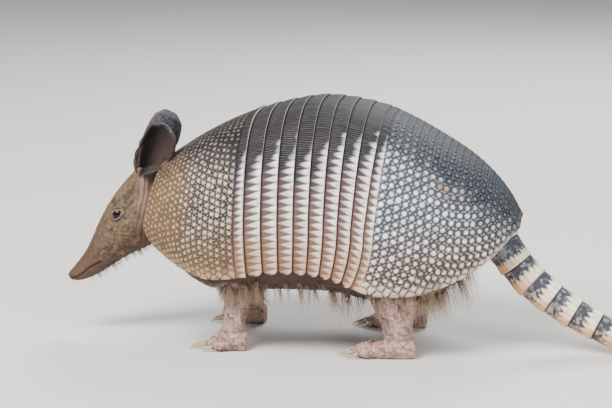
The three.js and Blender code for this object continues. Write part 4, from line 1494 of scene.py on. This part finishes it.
# ------------------------------------------------------------------ operators
BAND_STEP = BAND_PLACES[0][1]  # length of a band along the ridge, which its free edges are a share of
BAND_LENGTH = 13.0  # what its tuck is measured against
BAND_SEED = 100  # random numbers of the first band, and one more for each band
SHOULDER_LIP_START = 0.9  # share of the shoulder shield's length where its lip starts
HIP_LENGTH = 100.0  # what the hip shield's tuck is measured against
HIP_CELL_EXTRA = 0.05  # the hip shield's faces are this much bigger
HIP_EDGE_THICKNESS = 2.0
ROOT_SEED = 50
RING_SEED = 60  # of the first ring
TIP_SEED = 90
TUFT_SEED = 200  # of the first zone of hair: where its tufts grow
LENGTH_SEED = 300  # how long they are
HAIR_SEED = 400  # and how their hairs differ


def taper_to(rear, start=0.6):
    """Thickness of a plate whose rear edge is thinner, from a share of its length on."""
    return lambda shares: PLATE + (rear - PLATE) * smooth_step(start, 1.0, shares)


def shield_edge(i, side):
    """The station where a shield meets the bands, a free edge ahead of (-1) or behind (1) band edge i."""
    station = np.array(band_edge(i))
    station[:3] += side * BAND_STEP * BAND_MARGIN
    return tuple(station)


class ARMADILLO_OT_shoulder_shield(bpy.types.Operator):
    """Builds the shield over the shoulders"""

    bl_idname = "armadillo.shoulder_shield"
    bl_label = "Shoulder shield"

    def execute(self, context):
        name = "shoulder_shield_plate"
        cell = context.scene.armadillo_shell.cell / MM
        knots = SHOULDER_STATIONS + (shield_edge(0, -1),)
        pattern = bead_pattern(
            SHOULDER_COLOURS, row_pitches=(4.0, 5.4), pitches=(4.2, 5.6), bead_share=0.35, wedge_at=1
        )
        thickness = taper_to(EDGE_THICKNESS, SHOULDER_LIP_START)
        mesh = shell_plate(name, knots, cell, pattern, lambda s: rear_lip(s, SHOULDER_LIP_START), thickness)
        add_piece(name, mesh, shell_material(), ["shoulder_shield"])
        return {"FINISHED"}


class ARMADILLO_OT_bands(bpy.types.Operator):
    """Builds the movable bands between the shields"""

    bl_idname = "armadillo.bands"
    bl_label = "Bands"

    def execute(self, context):
        settings = context.scene.armadillo_shell
        tuck = front_tuck(BAND_LENGTH)
        for i in range(BAND_COUNT):
            name = f"band_{i + 1}_plate"
            front = np.array(band_edge(i))
            rear = np.array(band_edge(i + 1))
            knots = (front + (rear - front) * BAND_MARGIN, rear + (front - rear) * BAND_MARGIN)
            pattern = band_pattern(settings.band_pitch / MM, BAND_SEED + i)
            mesh = shell_plate(
                name, knots, settings.band_cell / MM, pattern, lambda s: tuck(s) + rear_lip(s),
                taper_to(EDGE_THICKNESS), tip_round=TIP_ROUND, stacks=4,
            )
            add_piece(name, mesh, shell_material(), [f"band_{i + 1}"])
        return {"FINISHED"}


class ARMADILLO_OT_hip_shield(bpy.types.Operator):
    """Builds the shield over the hips"""

    bl_idname = "armadillo.hip_shield"
    bl_label = "Hip shield"

    def execute(self, context):
        name = "hip_shield_plate"
        settings = context.scene.armadillo_shell
        knots = (shield_edge(BAND_COUNT, 1),) + HIP_STATIONS
        pitch = settings.bead_pitch / MM
        row_pitches = (pitch, pitch * 0.96)
        pitches = (pitch * 1.02, pitch)
        pattern = bead_pattern(HIP_COLOURS, row_pitches, pitches, bead_share=0.34, scar=SCAR_LINE)
        cell = settings.cell / MM + HIP_CELL_EXTRA
        mesh = shell_plate(name, knots, cell, pattern, front_tuck(HIP_LENGTH), taper_to(HIP_EDGE_THICKNESS))
        add_piece(name, mesh, shell_material(), ["hip_shield"])
        return {"FINISHED"}


class ARMADILLO_OT_tail(bpy.types.Operator):
    """Builds the scaly tail: its root, its rings and its tip"""

    bl_idname = "armadillo.tail"
    bl_label = "Tail"

    def execute(self, context):
        line = TailLine()
        material = tinted_material("Tail horn", roughness=0.5, spread=0.1, bump=0.3, grain=0.5, specular=0.25)
        start = TAIL_BASE
        name = "tail_root_scales"
        mesh = tail_piece(
            name, line, 0.0, start, cell=0.8, count=24, seed=ROOT_SEED, border=(0.8, 0.1), rust=0.2
        )
        add_piece(name, mesh, material, ["tail_root"])
        for i, length in enumerate(TAIL_RINGS):
            name = f"tail_ring_{i + 1}_scales"
            at_base = i < BASE_RINGS
            count = max(8, round(2 * math.pi * line.radius(start) / (BASE_SCALE if at_base else RING_SCALE)))
            border = (0.6, 0.12) if at_base else (0.5, 0.22)
            rust = 0.15 if at_base else 1.0
            end = start + length - RING_GAP
            mesh = tail_piece(
                name, line, start, end, cell=0.5, count=count, seed=RING_SEED + i,
                lip=RING_LIP, border=border, rust=rust,
            )
            add_piece(name, mesh, material, [f"tail_ring_{i + 1}"])
            start += length
        name = "tail_tip_scales"
        mesh = tail_piece(name, line, start, line.length, cell=0.6, count=7, seed=TIP_SEED, rows=14)
        add_piece(name, mesh, material, ["tail_tip"])
        return {"FINISHED"}


class ARMADILLO_OT_skin(bpy.types.Operator):
    """Builds the skin of the head, ears, legs and belly as one piece"""

    bl_idname = "armadillo.skin"
    bl_label = "Skin"

    def execute(self, context):
        material = tinted_material(
            "Skin", roughness=0.6, spread=0.1, bump=0.4, grain=0.4, specular=0.3, subsurface=0.06
        )
        add_piece("body_skin", skin_mesh(), material, FLESH)
        return {"FINISHED"}


class ARMADILLO_OT_hair(bpy.types.Operator):
    """Grows hair on the belly, the flanks, the legs, the throat and the cheeks"""

    bl_idname = "armadillo.hair"
    bl_label = "Hair"

    def execute(self, context):
        radius = context.scene.armadillo_hair.width / MM / 2
        material = hair_material()
        skin = bpy.data.objects["body_skin"].data
        points = mesh_points(skin)
        normals = mesh_normals(skin)
        for seed, zone in enumerate(hair_zones(points, normals)):
            name, chosen, count, way, (shortest, longest), droop, share, colours = zone
            roots, outward = skin_samples(points, normals, chosen, count, TUFT_SEED + seed)
            ways = outward * OUTWARD + np.array(way)
            lengths = np.random.default_rng(LENGTH_SEED + seed).uniform(shortest, longest, count)
            mesh = hair_mesh(name, roots, ways, lengths, radius * share, droop, colours, HAIR_SEED + seed)
            add_piece(name, mesh, material)
        return {"FINISHED"}


class ARMADILLO_OT_eyes(bpy.types.Operator):
    """Builds the eyes"""

    bl_idname = "armadillo.eyes"
    bl_label = "Eyes"

    def execute(self, context):
        settings = context.scene.armadillo_eye
        material, _, shader = new_material("Eye", 0.12, 0.25)
        shader.inputs["Base Color"].default_value = (*settings.colour, 1)
        for hand, side in HANDS:
            shape = bmesh.new()
            bmesh.ops.create_uvsphere(shape, u_segments=48, v_segments=32, radius=settings.radius)
            centre = from_head(EYE_CENTRE * (1, side, 1)) * MM
            bmesh.ops.translate(shape, verts=shape.verts, vec=Vector(centre))
            mesh = bpy.data.meshes.new(f"eyeball_{hand}")
            shape.to_mesh(mesh)
            shape.free()
            mesh.shade_smooth()
            add_piece(f"eyeball_{hand}", mesh, material, [f"eye_{hand}"])
        return {"FINISHED"}


CLAW_DARK = srgb(120, 96, 76)
CLAW_PALE = srgb(206, 186, 158)
CLAW_GRAIN = 1.6  # size of its spots


def claw_material():
    """Horn in shades of brown, with a finely uneven surface."""
    material, tree, shader = new_material("Claw horn", 0.35)
    link = tree.links.new
    place = add_node(tree, "ShaderNodeTexCoord").outputs["Object"]
    noise = add_node(tree, "ShaderNodeTexNoise", Scale=1 / (CLAW_GRAIN * MM), Detail=4.0)
    ramp = add_node(tree, "ShaderNodeValToRGB")
    ramp.color_ramp.elements[0].color = (*CLAW_DARK, 1)
    ramp.color_ramp.elements[1].color = (*CLAW_PALE, 1)
    raised = add_node(tree, "ShaderNodeBump", Strength=0.3, Distance=0.3 * MM)
    link(place, noise.inputs["Vector"])
    link(noise.outputs["Fac"], ramp.inputs["Fac"])
    link(ramp.outputs["Color"], shader.inputs["Base Color"])
    link(noise.outputs["Fac"], raised.inputs["Height"])
    link(raised.outputs["Normal"], shader.inputs["Normal"])
    return material


class ARMADILLO_OT_claws(bpy.types.Operator):
    """Builds the claws"""

    bl_idname = "armadillo.claws"
    bl_label = "Claws"

    def execute(self, context):
        material = claw_material()
        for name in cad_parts:
            if "claw" not in name:
                continue
            mesh = with_modifier(merged_copy(name), "SUBSURF", levels=2, render_levels=2)
            mesh.name = f"{name}_horn"
            mesh.shade_smooth()
            add_piece(f"{name}_horn", mesh, material, [name])
        return {"FINISHED"}


# ------------------------------------------------------------------ stage, with its lengths in metres
CAMERA_AZIMUTH = math.radians(8.5)
CAMERA_ELEVATION = math.radians(11)
CAMERA_DISTANCE = 1.6
CAMERA_HEIGHT = 0.110
CAMERA_LENS = 117.647
SENSOR = 36.0
CLIP_START = 0.05
LIGHT_HEIGHT = 0.1  # of the place that the lamps are aimed at
FLOOR_REACH = 6.0


def aim(obj, target):
    """Turns a camera or a light towards a place."""
    obj.rotation_euler = (Vector(target) - obj.location).to_track_quat("-Z", "Y").to_euler()


def add_light(name, place, size, power, colour):
    """A round lamp aimed at the middle of the body."""
    light = bpy.data.lights.new(name, "AREA")
    light.shape = "DISK"
    light.size = size
    light.energy = power
    light.color = colour
    lamp = bpy.data.objects.new(name, light)
    bpy.context.scene.collection.objects.link(lamp)
    lamp.location = place
    aim(lamp, (BODY_X * MM, 0, LIGHT_HEIGHT))


def add_floor(colour):
    """A plain floor under the whole body."""
    shape = bmesh.new()
    bmesh.ops.create_grid(shape, x_segments=2, y_segments=2, size=FLOOR_REACH)
    mesh = bpy.data.meshes.new("floor")
    shape.to_mesh(mesh)
    shape.free()
    material, _, shader = new_material("Floor", 0.8, 0.2)
    shader.inputs["Base Color"].default_value = (*colour, 1)
    mesh.materials.append(material)
    floor = bpy.data.objects.new("floor", mesh)
    bpy.context.scene.collection.objects.link(floor)


def add_sky(strength):
    """Soft light from all round."""
    world = bpy.data.worlds.new("Soft sky")
    world.use_nodes = True
    background = world.node_tree.nodes["Background"]
    background.inputs["Color"].default_value = (0.93, 0.96, 1.0, 1)
    background.inputs["Strength"].default_value = strength
    bpy.context.scene.world = world


def add_camera():
    """A camera on the left of the body, a little behind its middle and above it."""
    lens = bpy.data.cameras.new("Camera")
    lens.lens = CAMERA_LENS
    lens.sensor_width = SENSOR
    lens.clip_start = CLIP_START
    camera = bpy.data.objects.new("Camera", lens)
    bpy.context.scene.collection.objects.link(camera)
    middle = Vector((BODY_X * MM, 0, CAMERA_HEIGHT))
    level = math.cos(CAMERA_ELEVATION)
    behind = math.sin(CAMERA_AZIMUTH) * level
    left = math.cos(CAMERA_AZIMUTH) * level
    camera.location = middle + CAMERA_DISTANCE * Vector((behind, -left, math.sin(CAMERA_ELEVATION)))
    aim(camera, middle)
    bpy.context.scene.camera = camera


class ARMADILLO_OT_stage(bpy.types.Operator):
    """Builds the floor, the lights and the camera"""

    bl_idname = "armadillo.stage"
    bl_label = "Stage"

    def execute(self, context):
        settings = context.scene.armadillo_stage
        power = settings.key_power
        add_floor(settings.floor_colour)
        add_sky(settings.sky)
        add_light("Key light", (-0.9, -1.2, 1.8), 1.1, power, (1.0, 0.97, 0.93))
        add_light("Fill light", (1.4, -1.3, 1.2), 1.4, power * 0.4, (0.95, 0.97, 1.0))
        add_light("Back light", (0.3, 1.6, 1.6), 1.2, power * 0.5, (1.0, 1.0, 1.0))
        add_camera()
        return {"FINISHED"}


OPERATORS = (
    ARMADILLO_OT_stage,
    ARMADILLO_OT_shoulder_shield,
    ARMADILLO_OT_bands,
    ARMADILLO_OT_hip_shield,
    ARMADILLO_OT_tail,
    ARMADILLO_OT_skin,
    ARMADILLO_OT_hair,
    ARMADILLO_OT_eyes,
    ARMADILLO_OT_claws,
)
SETTINGS = {
    "armadillo_shell": ArmadilloArmour,
    "armadillo_eye": ArmadilloEye,
    "armadillo_hair": ArmadilloHair,
    "armadillo_stage": ArmadilloStage,
}


class ARMADILLO_PT_panel(bpy.types.Panel):
    """Lists the pieces and their settings"""

    bl_label = "Armadillo"
    bl_space_type = "VIEW_3D"
    bl_region_type = "UI"
    bl_category = "Armadillo"

    def draw(self, context):
        for name, group in SETTINGS.items():
            box = self.layout.box()
            settings = getattr(context.scene, name)
            for key in group.__annotations__:
                box.prop(settings, key)
        for operator in OPERATORS:
            self.layout.operator(operator.bl_idname)


def register():
    for kind in (*SETTINGS.values(), *OPERATORS, ARMADILLO_PT_panel):
        bpy.utils.register_class(kind)
    for name, group in SETTINGS.items():
        setattr(bpy.types.Scene, name, bpy.props.PointerProperty(type=group))


def unregister():
    for name in SETTINGS:
        delattr(bpy.types.Scene, name)
    for kind in (ARMADILLO_PT_panel, *reversed(OPERATORS), *SETTINGS.values()):
        bpy.utils.unregister_class(kind)


def main():
    register()
    for operator in OPERATORS:
        group, _, name = operator.bl_idname.partition(".")
        getattr(getattr(bpy.ops, group), name)()


if __name__ == "__main__":
    main()
